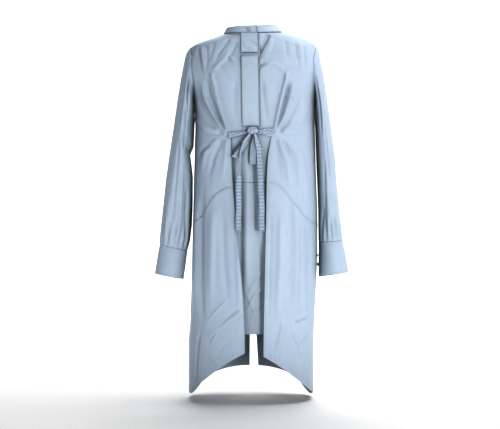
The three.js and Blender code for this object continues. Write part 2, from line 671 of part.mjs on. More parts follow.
// The end of the cuff that laps over, with its two buttons one above the other.
function addCuffLap(side) {
  const level = CUFF_LEVELS[2] + CLOTH + PLY_GAP;
  const lap = sheet(1, 1, (s, t, w) => onCuff(side, lapTurn(s), t, level + CLOTH * w));
  add(`cuff_lap_${sideName(side)}`, lap, POPLIN);
  for (let i = 0; i < CUFF_BUTTONS; i += 1) {
    const t = (i + 1) / (CUFF_BUTTONS + 1);
    const from = onCuff(side, lapTurn(0), t, level + CLOTH);
    const to = onCuff(side, lapTurn(1), t, level + CLOTH);
    const down = onCuff(side, lapTurn(0), t + 0.1, level + CLOTH).sub(from);
    const out = to.clone().sub(from).cross(down).normalize().multiplyScalar(side);
    const seat = from.add(to).multiplyScalar(0.5).addScaledVector(out, PLY_GAP);
    add(`cuff_button_${sideName(side)}_${i + 1}`, button(seat, out, BUTTON_RADIUS), BUTTON);
  }
}
for (const side of [RIGHT, LEFT]) {
  const names = ['cuff_inner', 'cuff_interlining', 'cuff_outer'];
  const colors = [POPLIN_SHADE, INTERLINING, POPLIN];
  names.forEach((name, ply) => {
    const level = CUFF_LEVELS[ply];
    const wall = tube(SLEEVE_SIDES, 1, (turn, t, w) => onCuff(side, turn, t, level + CLOTH * (1 - w)));
    add(`${name}_${sideName(side)}`, wall, colors[ply]);
  });
  addCuffLap(side);
}

// ---- Collar button, on the outside of the lapped end ----
const collarButtonAngle = 2 * HALF_TURN + angleAt(placketMiddle(0), -NECK_DIP);
const collarSeat = onBand(collarButtonAngle, COLLAR_HEIGHT * 0.42, 3 * CLOTH + 2 * PLY_GAP);
const collarOut = onBand(collarButtonAngle + 0.02, 12, 0).sub(onBand(collarButtonAngle - 0.02, 12, 0))
  .cross(onBand(collarButtonAngle, 20, 0).sub(onBand(collarButtonAngle, 5, 0))).normalize();
collarSeat.addScaledVector(collarOut, 2 * PLY_GAP);
add('collar_button', button(collarSeat, collarOut, BUTTON_RADIUS - 0.5), BUTTON);

export default group;
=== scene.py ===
import math

import bmesh
import bpy
import numpy as np
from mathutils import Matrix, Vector


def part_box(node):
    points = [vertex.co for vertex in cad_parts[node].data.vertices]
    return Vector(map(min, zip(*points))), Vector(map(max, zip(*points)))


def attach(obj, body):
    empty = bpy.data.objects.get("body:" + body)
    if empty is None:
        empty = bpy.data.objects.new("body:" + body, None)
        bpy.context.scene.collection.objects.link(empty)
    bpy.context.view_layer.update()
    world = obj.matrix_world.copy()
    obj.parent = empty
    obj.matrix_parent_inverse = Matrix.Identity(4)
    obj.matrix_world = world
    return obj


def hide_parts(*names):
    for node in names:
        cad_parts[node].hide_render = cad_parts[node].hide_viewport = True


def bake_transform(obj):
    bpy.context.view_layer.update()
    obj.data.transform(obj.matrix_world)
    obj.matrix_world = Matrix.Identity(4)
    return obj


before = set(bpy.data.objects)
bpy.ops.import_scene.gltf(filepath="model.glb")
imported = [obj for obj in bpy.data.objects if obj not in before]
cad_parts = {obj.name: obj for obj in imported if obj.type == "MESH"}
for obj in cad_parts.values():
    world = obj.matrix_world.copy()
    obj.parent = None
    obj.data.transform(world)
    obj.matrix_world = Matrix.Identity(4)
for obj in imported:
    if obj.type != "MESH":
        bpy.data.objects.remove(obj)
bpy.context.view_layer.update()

scene = bpy.context.scene

# Everything below is worked out in millimetres, in the CAD frame, and written in metres.
# +Z is up, the front faces -Y and the wearer's left is +X.
MM = 0.001
RIGHT = -1
LEFT = 1
SIDE_NAME = {RIGHT: "right", LEFT: "left"}
QUARTER = math.pi / 2


# ---------------------------------------------------------------- camera and light
CAMERA_DISTANCE = 3.2
HALF_SEEN = 0.725  # half the width that the camera takes in at the gown


def aim(obj, target):
    """Points a lamp at a place."""
    away = Vector(target) - obj.location
    obj.rotation_euler = away.to_track_quat("-Z", "Y").to_euler()


def lamp(name, location, target, size, power, tint):
    """A square softbox."""
    light = bpy.data.lights.new(name, "AREA")
    light.size = size
    light.energy = power
    light.color = tint
    obj = bpy.data.objects.new(name, light)
    obj.location = location
    scene.collection.objects.link(obj)
    aim(obj, target)


camera = bpy.data.objects.new("camera", bpy.data.cameras.new("camera"))
scene.collection.objects.link(camera)
camera.location = (-0.003, -CAMERA_DISTANCE, -0.526)
camera.rotation_euler = (QUARTER, 0, 0)
camera.data.sensor_fit = "HORIZONTAL"
camera.data.angle = 2 * math.atan(HALF_SEEN / CAMERA_DISTANCE)
scene.camera = camera

lamp("key_right", (1.55, -3.0, -0.62), (0, 0, -0.45), 0.8, 57, (1.0, 0.99, 0.975))
lamp("fill_front", (-0.9, -3.3, -0.6), (0, 0, -0.55), 0.8, 7, (0.92, 0.96, 1.0))
lamp("top_right", (1.2, 0.35, 1.9), (0, 0.1, -1.06), 2.0, 66, (1.0, 1.0, 1.0))
lamp("floor_wash", (0, 2.6, 2.2), (0, 4.4, -1.06), 2.4, 215, (1.0, 1.0, 1.0))
lamp("sweep_wash", (0, 2.8, 2.4), (0, 9.0, 0.6), 2.4, 560, (1.0, 1.0, 1.0))

scene.view_settings.view_transform = "Standard"
world = bpy.data.worlds.new("studio")
scene.world = world
world.use_nodes = True
world.node_tree.nodes["Background"].inputs["Color"].default_value = (1, 1, 1, 1)
world.node_tree.nodes["Background"].inputs["Strength"].default_value = 0.1


# ---------------------------------------------------------------- materials
def linear(hex_colour):
    """An sRGB hex colour as linear RGBA."""
    out = []
    for i in (1, 3, 5):
        c = int(hex_colour[i:i + 2], 16) / 255
        out.append(c / 12.92 if c <= 0.04045 else ((c + 0.055) / 1.055) ** 2.4)
    return (*out, 1.0)


def node(tree, kind, settings=(), links=()):
    """Adds a node, sets its properties and sockets, and links sockets from other nodes."""
    n = tree.nodes.new(kind)
    for key, value in dict(settings).items():
        if isinstance(key, str) and hasattr(n, key):
            setattr(n, key, value)
        else:
            n.inputs[key].default_value = value
    for key, source in dict(links).items():
        tree.links.new(source, n.inputs[key])
    return n


def noise(tree, place, **settings):
    return node(tree, "ShaderNodeTexNoise", settings, {"Vector": place}).outputs["Fac"]


def ramp(tree, value, dark, light, low=0.0, high=1.0):
    """The colour of a value, from dark at low to light at high."""
    n = node(tree, "ShaderNodeValToRGB", {}, {"Fac": value})
    for element, position, colour in zip(n.color_ramp.elements, (low, high), (dark, light)):
        element.position = position
        element.color = linear(colour)
    return n.outputs["Color"]


def new_material(name):
    """A material, its node tree and a point's own place on its object."""
    material = bpy.data.materials.new(name)
    material.use_nodes = True
    tree = material.node_tree
    return material, tree, node(tree, "ShaderNodeTexCoord").outputs["Object"]


def surfaced(material, colour, settings, normal=None):
    """Gives a material its colour, its surface settings and its bumps."""
    tree = material.node_tree
    surface = tree.nodes["Principled BSDF"]
    tree.links.new(colour, surface.inputs["Base Color"])
    if normal is not None:
        tree.links.new(normal, surface.inputs["Normal"])
    for key, value in settings.items():
        surface.inputs[key].default_value = value
    return material


def woven(name, light, dark, yarn, roughness, sheen, crumple):
    """Plain-weave cloth. yarn is the distance between drawn yarns, in metres."""
    material, tree, place = new_material(name)
    cloth = node(tree, "ShaderNodeUVMap", {"uv_map": "cloth"}).outputs["UV"]
    warp, weft = (node(tree, "ShaderNodeTexWave",
                       {"bands_direction": way, "wave_profile": "SIN", "Scale": 1 / (yarn * 2),
                        "Distortion": 0.6, "Detail": 1.0}, {"Vector": cloth}).outputs["Fac"]
                  for way in ("X", "Y"))
    weave = node(tree, "ShaderNodeMath", {"operation": "MULTIPLY"}, {0: warp, 1: weft}).outputs[0]
    slub = noise(tree, place, Scale=55.0, Detail=3.0)
    wash = noise(tree, place, Scale=7.0, Detail=4.0)
    wash = node(tree, "ShaderNodeMath", {"operation": "MULTIPLY", 1: 0.55}, {0: wash}).outputs[0]
    tone = node(tree, "ShaderNodeMath", {"operation": "MULTIPLY_ADD", 1: 0.45},
                {0: slub, 2: wash}).outputs[0]
    shade = node(tree, "ShaderNodeMath", {"operation": "MULTIPLY_ADD", 1: 0.25},
                 {0: weave, 2: tone}).outputs[0]
    colour = ramp(tree, shade, dark, light, 0.3, 0.85)
    # painted shade: ambient occlusion darkens the colour in creases, folds and gaps between parts
    # (mixed in at half) and inside the gown
    fold = node(tree, "ShaderNodeAmbientOcclusion", {"samples": 6, "Distance": 0.02},
                {"Color": colour}).outputs["Color"]
    fold = node(tree, "ShaderNodeMix", {"data_type": "RGBA", 0: 0.5},
                {6: colour, 7: fold}).outputs[2]
    # painted shade deep inside the gown and under the fronts, out to 0.3 m
    deep = node(tree, "ShaderNodeAmbientOcclusion", {"samples": 6, "Distance": 0.3},
                {"Color": fold}).outputs["Color"]
    creases = noise(tree, place, Scale=26.0, Detail=5.0, Roughness=0.55, Distortion=1.4)
    rough_bump = node(tree, "ShaderNodeBump", {"Strength": crumple, "Distance": 0.004},
                      {"Height": creases}).outputs["Normal"]
    fine_bump = node(tree, "ShaderNodeBump", {"Strength": 0.25, "Distance": 0.0002},
                     {"Height": weave, "Normal": rough_bump}).outputs["Normal"]
    return surfaced(material, deep,
                    {"Roughness": roughness, "IOR": 1.5, "Specular IOR Level": 0.32,
                     "Sheen Weight": sheen, "Sheen Roughness": 0.45}, fine_bump)


# Cotton poplin, woven from fine combed yarn: smooth and cool, with a faint sheen where it
# turns to the light. Its yarns are 0.25 mm apart, drawn at 0.9 mm so that they show.
POPLIN = woven("cotton_poplin_pale_blue", "#c3d8ee", "#b2c8e2", 0.0009, 0.5, 0.12, 0.07)
# Bias ribbon cut from the same poplin, its colours set darker than the poplin's as painted shade,
# and a little deeper where it is crimped from the painted occlusion shade.
RIBBON = woven("cotton_poplin_bias_ribbon", "#bed2e9", "#a2bad9", 0.0009, 0.54, 0.12, 0.15)
# Fused cotton interlining: chalky white and open-woven, 0.5 mm yarns drawn at 1.2 mm.
INTERLINING = woven("fused_cotton_interlining", "#f0f3f4", "#dde3e6", 0.0012, 0.85, 0.05, 0.1)
# Satin label tape: close-woven polyester with a soft gloss.
SATIN = woven("satin_label_tape", "#f6f6f1", "#e6e7e2", 0.0006, 0.34, 0.2, 0.05)


def spun_thread():
    """Polyester sewing thread, two plies twisted together: each stitch catches a little light."""
    material, tree, place = new_material("polyester_sewing_thread")
    twist = node(tree, "ShaderNodeTexWave", {"bands_direction": "DIAGONAL", "Scale": 900.0},
                 {"Vector": place}).outputs["Fac"]
    bump = node(tree, "ShaderNodeBump", {"Strength": 0.4, "Distance": 0.0002}, {"Height": twist})
    # the ramp paints the twist's ridges lighter and its grooves darker: painted highlight and shade
    # along the plies
    return surfaced(material, ramp(tree, twist, "#b0c6de", "#d6e5f4"), {"Roughness": 0.5},
                    bump.outputs["Normal"])


def pearly_resin():
    """Cast polyester resin turned on a lathe: cloudy pearl swirls under a polished face."""
    material, tree, place = new_material("pearly_cast_resin")
    swirl = noise(tree, place, Scale=260.0, Detail=4.0, Distortion=2.5)
    return surfaced(material, ramp(tree, swirl, "#7389a6", "#b3c6dc", 0.35, 0.7),
                    {"Roughness": 0.22, "IOR": 1.55, "Coat Weight": 0.4, "Coat Roughness": 0.12})


def painted_floor():
    """A studio sweep, rolled matt white with a faint orange-peel texture."""
    material, tree, place = new_material("matt_white_sweep")
    peel = noise(tree, place, Scale=120.0, Detail=2.0)
    return surfaced(material, ramp(tree, peel, "#f4f4f4", "#fbfbfb"), {"Roughness": 0.9})


THREAD = spun_thread()
RESIN = pearly_resin()
CLOTH_AND_THREAD = (POPLIN, THREAD)

# ---------------------------------------------------------------- the form the cloth hangs on
# Drops below the collar seam, and how far the cloth stands from the middle at each.
WIDTH = {
    RIGHT: ([0, 6, 14, 23, 32, 42, 60, 93, 125, 160, 200, 255, 340, 420, 557, 716, 832, 890, 1045],
            [72, 79, 102, 130, 156, 173, 181, 186, 182, 174, 166, 160.5, 163, 165, 168, 172, 176,
             180, 180]),
    LEFT: ([0, 6, 14, 23, 32, 42, 60, 93, 125, 160, 200, 255, 340, 441, 516, 620, 716, 774, 832,
            890, 1045],
           [75, 108, 145, 169, 181, 188, 194, 198, 196, 192, 186, 184, 186, 189, 192, 192, 189,
            186, 183, 180, 180]),
}
FRONT_DEPTH = ([0, 14, 30, 60, 88, 100, 112, 130, 170, 230, 300, 557, 1040],
               [83, 86, 93, 104, 110, 117, 122.5, 124, 122, 118.5, 116, 126, 134])
BACK_DEPTH = ([0, 25, 112, 170, 557, 1040], [50, 74, 97, 103, 116, 129])
NECK_DIP = 14
WAIST = 300  # drop of the tie
YOKE_DROP = 112
ARMHOLE_TOP, ARMHOLE_BOTTOM, ARMHOLE_HALF_DEPTH = 42, 200, 64
HEM_HALF = 181


def lerp(a, b, t):
    return a + (b - a) * t


def smooth(t):
    c = np.clip(t, 0, 1)
    return c * c * (3 - 2 * c)


def hump(distance, reach):
    """A bell curve: 1 at no distance."""
    return np.exp(-((distance / reach) ** 2))


def signed_power(v, power):
    return np.sign(v) * np.abs(v) ** power


def look(table, drop):
    return np.interp(drop, table[0], table[1])


def ease(table, drop):
    """Looks a table up with its corners rounded off."""
    return sum(look(table, drop + shift) for shift in (-10, -5, 0, 5, 10)) / 5


def half_width(z, side):
    return np.where(side < 0, look(WIDTH[RIGHT], -z), look(WIDTH[LEFT], -z))


def roundness(z):
    return 2 + 0.4 * smooth(-z / YOKE_DROP)


def bare(angle, z):
    """The form itself. Angle 0 is the middle of the front and a quarter turn the wearer's left."""
    power = 2 / roundness(z)
    across, ahead = np.sin(angle), np.cos(angle)
    depth = np.where(ahead > 0, ease(FRONT_DEPTH, -z), ease(BACK_DEPTH, -z))
    x = half_width(z, np.sign(across)) * signed_power(across, power)
    y = -depth * signed_power(ahead, power)
    return np.stack([x, y, z + 0 * x], -1)


def unit(v):
    return v / np.maximum(np.linalg.norm(v, axis=-1, keepdims=True), 1e-9)


def outward(angle, z):
    along = bare(angle + 0.02, z) - bare(angle - 0.02, z)
    rise = bare(angle, z + 6) - bare(angle, z - 6)
    return unit(np.cross(along, rise))


def angle_at(x, z, back=False):
    share = np.minimum(1, np.abs(x) / half_width(z, np.sign(x)))
    angle = np.arcsin(share ** (roundness(z) / 2))
    return np.sign(x) * (math.pi - angle if back else angle)


def skin(angle, z, offset=0.0):
    """The form with cloth standing off it by an offset."""
    angle, z = np.broadcast_arrays(np.asarray(angle, float), np.asarray(z, float))
    return bare(angle, z) + outward(angle, z) * np.asarray(offset)[..., None]


def armhole(z):
    middle = (ARMHOLE_TOP + ARMHOLE_BOTTOM) / 2
    half = (ARMHOLE_BOTTOM - ARMHOLE_TOP) / 2
    share = np.minimum(1, np.abs(z + middle) / half)
    return ARMHOLE_HALF_DEPTH * np.sqrt(1 - share ** 2)


def side_angle(z, back):
    """Where the front or the back meets the side: at the armhole's edge, then a quarter turn."""
    depth = ease(BACK_DEPTH if back else FRONT_DEPTH, -z)
    angle = np.arccos((armhole(z) / depth) ** (roundness(z) / 2))
    return math.pi - angle if back else angle


def neckline(angle):
    across = np.sin(angle)
    return -NECK_DIP * 0.5 * (1 + np.cos(angle)) + np.where(across > 0, 6.0, 2.0) * np.abs(across)


# The front hip seam: distance from the middle and height.
HIP_SEAM = {
    RIGHT: ([50, 70, 92, 104, 112, 122, 138, 152, 167],
            [-449, -453, -463, -473, -483, -500, -525, -544, -557]),
    LEFT: ([42, 60, 70, 86, 97, 114, 134, 148, 170, 191],
           [-437, -438, -441, -452, -463, -488, -510, -531, -550, -557]),
}
# The free edge of each front, from the tie to the hem: drop and distance from the middle.
FREE_EDGE = {
    RIGHT: ([300, 318, 374, 430, 564, 709, 914], [58, 56, 54.6, 51.8, 42, 31, 17]),
    LEFT: ([300, 329, 366, 413, 564, 765, 927], [58.5, 53, 47.2, 44.4, 41.6, 38.9, 34.4]),
}
SEAM_INNER_Z, SEAM_Z = -436.0, -480.0  # the hip seam's inner end and about its middle


def free_edge(side, z):
    return look(FREE_EDGE[side], -z)


def edge_angle(side, z):
    return np.abs(angle_at(side * free_edge(side, z), z))


def hip_seam(side, s):
    """Height of the hip seam at s, from a front's free edge to its side."""
    angle = lerp(edge_angle(side, SEAM_INNER_Z), QUARTER, s)
    return look(HIP_SEAM[side], np.abs(bare(side * angle, SEAM_Z)[..., 0]))


def hip_seam_back(angle):
    return -lerp(557, 500, smooth((angle - QUARTER) / QUARTER))


def front_hem(x):
    share = np.abs(x) / HEM_HALF
    return -lerp(905, 1038, 0.58 * share + 0.42 * share ** 2)


def back_hem(angle):
    share = (angle - QUARTER) / QUARTER
    return -lerp(1038, 980, smooth(share)) - 20 * np.sin(math.pi * np.minimum(1, 2 * share))


# ---------------------------------------------------------------- folds pressed into the cloth
# A fold is x and z of each point of its line, its width on either side of that, its height, and
# the share of its length that it fades in and out over.
def fold_height(x, z, folds):
    """How far a set of folds raises the cloth at a place."""
    total = np.zeros(np.broadcast(x, z).shape)
    for *places, left, right, height, fade_in, fade_out in folds:
        line = list(zip(places[::2], places[1::2]))
        near = np.full(total.shape, 1e9)
        side = np.zeros(total.shape)
        along = np.zeros(total.shape)
        lengths = [math.dist(a, b) for a, b in zip(line, line[1:])]
        run = 0.0
        for (ax, az), (bx, bz), length in zip(line, line[1:], lengths):
            dx, dz = (bx - ax) / length, (bz - az) / length
            t = np.clip((x - ax) * dx + (z - az) * dz, 0, length)
            gap = np.hypot(x - ax - t * dx, z - az - t * dz)
            closer = gap < near
            near = np.where(closer, gap, near)
            side = np.where(closer, (x - ax) * dz - (z - az) * dx, side)
            along = np.where(closer, (run + t) / sum(lengths), along)
            run += length
        taper = smooth(along / fade_in) * smooth((1 - along) / fade_out)
        total += height * hump(near, np.where(side > 0, right, left)) * taper
    return total


# The fronts, from the shoulders to the hem.
FRONT_FOLDS = [
    # pleats that run from the bust to the tie
    (-112, -120, -103, -156, -89, -212, -73, -262, -62, -299, 3.5, 8, 7.6, 0.12, 0.06),
    (-129, -140, -115, -195, -95, -246, -70, -296, 5, 4.5, -5.4, 0.2, 0.08),
    (-142, -151, -129, -201, -103, -251, -70, -299, 5, 4.5, 6.4, 0.25, 0.08),
    (-156, -173, -140, -223, -109, -274, -73, -304, 8, 5, -3.6, 0.3, 0.1),
    (-170, -240, -131, -279, -84, -293, 8, 7, 3.4, 0.3, 0.12),
    (100, -120, 95, -151, 83, -198, 70, -262, 64, -299, 8, 3.5, 7.6, 0.12, 0.06),
    (109, -145, 100, -190, 86, -240, 67, -296, 4, 4.5, -5.4, 0.2, 0.08),
    (123, -145, 111, -195, 95, -246, 70, -299, 4.5, 6, 6.4, 0.25, 0.08),
    (145, -167, 128, -223, 103, -268, 75, -301, 5, 9, -3.6, 0.3, 0.1),
    (159, -240, 131, -274, 86, -293, 7, 8, 3.4, 0.3, 0.12),
    # shoulder gathers
    (-151, -53, -142, -101, -131, -162, 4, 6, -2.7, 0.05, 0.6),
    (-140, -50, -134, -101, -129, -140, 4, 5, 2.1, 0.05, 0.6),
    (-126, -48, -123, -89, -126, -134, 4, 5, -2.1, 0.05, 0.6),
    (-103, -39, -112, -73, -120, -106, 4, 6, -2.1, 0.05, 0.6),
    (-165, -67, -162, -128, -154, -207, 6, 6, 2.8, 0.1, 0.5),
    (97, -36, 100, -67, 103, -101, 5, 5, -1.8, 0.05, 0.6),
    (125, -42, 128, -73, 134, -112, 4, 4, -2.4, 0.05, 0.6),
    (139, -42, 142, -84, 139, -134, 4, 5, 2.1, 0.05, 0.6),
    (150, -45, 153, -89, 150, -151, 4, 5, -2.1, 0.05, 0.6),
    # the chest between collar and bust
    (53, -17, 33, -56, 17, -89, 3.5, 9, -6.0, 0.05, 0.12),
    (58, -28, 47, -67, 30, -101, 7, 8, 2.5, 0.1, 0.3),
    (14, -123, 25, -109, 53, -101, 3, 5, -4.5, 0.05, 0.5),
    (-36, -34, -56, -73, -70, -101, 7, 6, -3.5, 0.15, 0.3),
    (-59, -28, -87, -67, -106, -101, 5, 6, -3.0, 0.1, 0.4),
    (-109, -126, -89, -103, -64, -78, -50, -95, -34, -112, 6, 6, 3.5, 0.12, 0.2),
    (-81, -112, -31, -162, 6, 8, 2.0, 0.3, 0.5),
    (30, -106, 64, -106, 97, -123, 6, 6, 3.0, 0.2, 0.2),
    (-42, -137, -48, -207, -42, -274, 7, 7, -2.5, 0.3, 0.4),
    (30, -137, 36, -207, 47, -274, 6, 8, -2.5, 0.3, 0.3),
    # below the tie
    (-67, -313, -73, -374, -84, -441, 6, 7, 3.6, 0.08, 0.6),
    (-81, -313, -106, -368, -123, -441, 7, 7, -3.7, 0.08, 0.5),
    (-92, -313, -129, -352, -145, -419, 6, 7, 4.0, 0.08, 0.5),
    (-98, -327, -137, -340, -159, -385, 6, 6, -2.5, 0.1, 0.5),
    (70, -310, 78, -374, 83, -446, 7, 6, -2.8, 0.08, 0.5),
    (75, -310, 100, -374, 114, -486, 7, 7, 4.0, 0.08, 0.5),
    (83, -310, 123, -368, 134, -499, 7, 7, -3.7, 0.1, 0.4),
    (97, -327, 142, -357, 159, -458, 6, 7, 3.6, 0.12, 0.4),
    # skirt
    (-134, -424, -142, -541, -142, -737, -134, -876, 9, 8, -5.0, 0.25, 0.3),
    (-154, -458, -159, -625, -159, -848, 6, 7, 4.0, 0.25, 0.3),
    (-106, -486, -109, -625, -115, -815, 9, 12, 5.2, 0.25, 0.4),
    (-81, -486, -76, -653, -59, -820, 9, 8, -3.1, 0.25, 0.4),
    (-42, -527, -36, -681, -31, -820, 7, 6, 2.8, 0.25, 0.3),
    (-23, -795, -64, -823, -129, -879, 2.5, 6, 3.6, 0.08, 0.4),
    (-25, -776, -81, -832, -126, -893, 4, 4, -1.9, 0.3, 0.4),
    (-53, -753, -98, -798, -131, -843, 3, 5, 2.4, 0.3, 0.5),
    (-89, -848, -115, -893, 3, 4, 1.9, 0.3, 0.3),
    (-31, -898, -81, -926, -134, -965, 4, 4, 1.8, 0.3, 0.3),
    (-42, -876, -76, -893, -103, -938, 3, 3, -1.2, 0.3, 0.3),
    (114, -474, 117, -625, 114, -815, 8, 8, -4.3, 0.15, 0.25),
    (83, -486, 81, -653, 72, -848, 11, 9, 5.2, 0.25, 0.4),
    (56, -486, 53, -653, 47, -848, 5, 5, -2.2, 0.25, 0.3),
    (142, -525, 142, -681, 136, -815, 6, 7, 5.6, 0.15, 0.15),
    (162, -547, 162, -681, 159, -859, 5, 5, -3.7, 0.25, 0.3),
    (120, -829, 136, -826, 170, -812, 3, 3, -3.1, 0.12, 0.4),
    (167, -851, 145, -871, 131, -898, 3, 3, 2.8, 0.1, 0.4),
    (89, -809, 81, -865, 67, -915, 4, 4, 2.8, 0.3, 0.4),
    (109, -848, 131, -904, 142, -965, 4, 5, -1.9, 0.3, 0.4),
    (-142, -848, -151, -910, -156, -999, 3.5, 4, -3.7, 0.3, 0.05),
]

BACK_FOLDS = [
    (-14, -112, -18, -240, -24, -400, 9, 12, -5.0, 0.02, 0.5),
    (14, -112, 18, -240, 24, -400, 12, 9, -5.0, 0.02, 0.5),
    (0, -112, 0, -260, 2, -420, 8, 8, 4.0, 0.02, 0.5),
    (-95, -130, -70, -260, -60, -420, 16, 18, 4.0, 0.2, 0.4),
    (95, -130, 72, -260, 64, -420, 18, 16, 4.0, 0.2, 0.4),
    (-140, -210, -110, -290, -96, -470, 14, 16, -4.0, 0.15, 0.4),
    (140, -210, 112, -290, 98, -470, 16, 14, -4.0, 0.15, 0.4),
    (-120, -520, -118, -760, -124, -960, 16, 18, 5.0, 0.25, 0.1),
    (-84, -520, -86, -760, -92, -960, 15, 14, -5.5, 0.25, 0.1),
    (-46, -520, -48, -740, -58, -960, 16, 16, 4.0, 0.25, 0.1),
    (120, -520, 121, -760, 126, -960, 16, 18, 5.0, 0.25, 0.1),
    (80, -520, 84, -760, 90, -960, 15, 14, -5.5, 0.25, 0.1),
    (44, -520, 48, -740, 60, -960, 16, 16, 4.0, 0.25, 0.1),
    (-150, -560, -152, -800, -156, -1000, 9, 9, -4.0, 0.2, 0.1),
    (150, -560, 152, -800, 156, -1000, 9, 9, -4.0, 0.2, 0.1),
    (-60, -60, -90, -86, -130, -100, 10, 12, 2.0, 0.3, 0.3),
    (60, -60, 90, -86, 130, -100, 12, 10, 2.0, 0.3, 0.3),
]

# The panel between the fronts.
CENTRE_FOLDS = [
    (-14, -318, -11, -486, -14, -765, 10, 12, 5.0, 0.1, 0.3),
    (-36, -346, -31, -541, -28, -820, 8, 7, -4.0, 0.2, 0.3),
    (11, -346, 14, -513, 19, -625, 8, 8, -4.0, 0.2, 0.3),
    (33, -569, 33, -681, 30, -848, 8, 7, -5.0, 0.3, 0.3),
    (44, -728, 11, -753, -14, -798, 3, 5, 2.4, 0.1, 0.4),
    (36, -681, 8, -720, -11, -765, 4, 5, 1.8, 0.2, 0.4),
    (42, -765, 14, -792, -3, -826, 3, 4, 1.6, 0.2, 0.4),
    (-20, -737, 3, -781, 19, -826, 4, 4, 1.2, 0.3, 0.3),
]

# Creases across the placket's sewn top.
PLACKET_FOLDS = [
    (-23, -48, -6, -56, 14, -67, 3, 4, 1.4, 0.2, 0.2),
    (-25, -59, -9, -67, 11, -81, 3, 4, -1.2, 0.2, 0.2),
    (-20, -34, -3, -39, 14, -50, 3, 3, -1.0, 0.2, 0.2),
]


def folded_skin(angle, z, offset, folds):
    """The form with an offset and a set of folds."""
    place = bare(angle, z)
    return skin(angle, z, offset + fold_height(place[..., 0], place[..., 2], folds))


def pucker(gap, along, pitch, height, reach):
    """The small ripples that a seam draws up, by the distance from it and the distance along it."""
    ripple = np.sin(along * 2 * math.pi / pitch + 1.7 * np.sin(along / 31.0))
    return height * ripple * hump(gap, reach)


# ---------------------------------------------------------------- making pieces
PITCH = 4.6  # stitches are drawn longer than the real 2.5 mm, so that they show


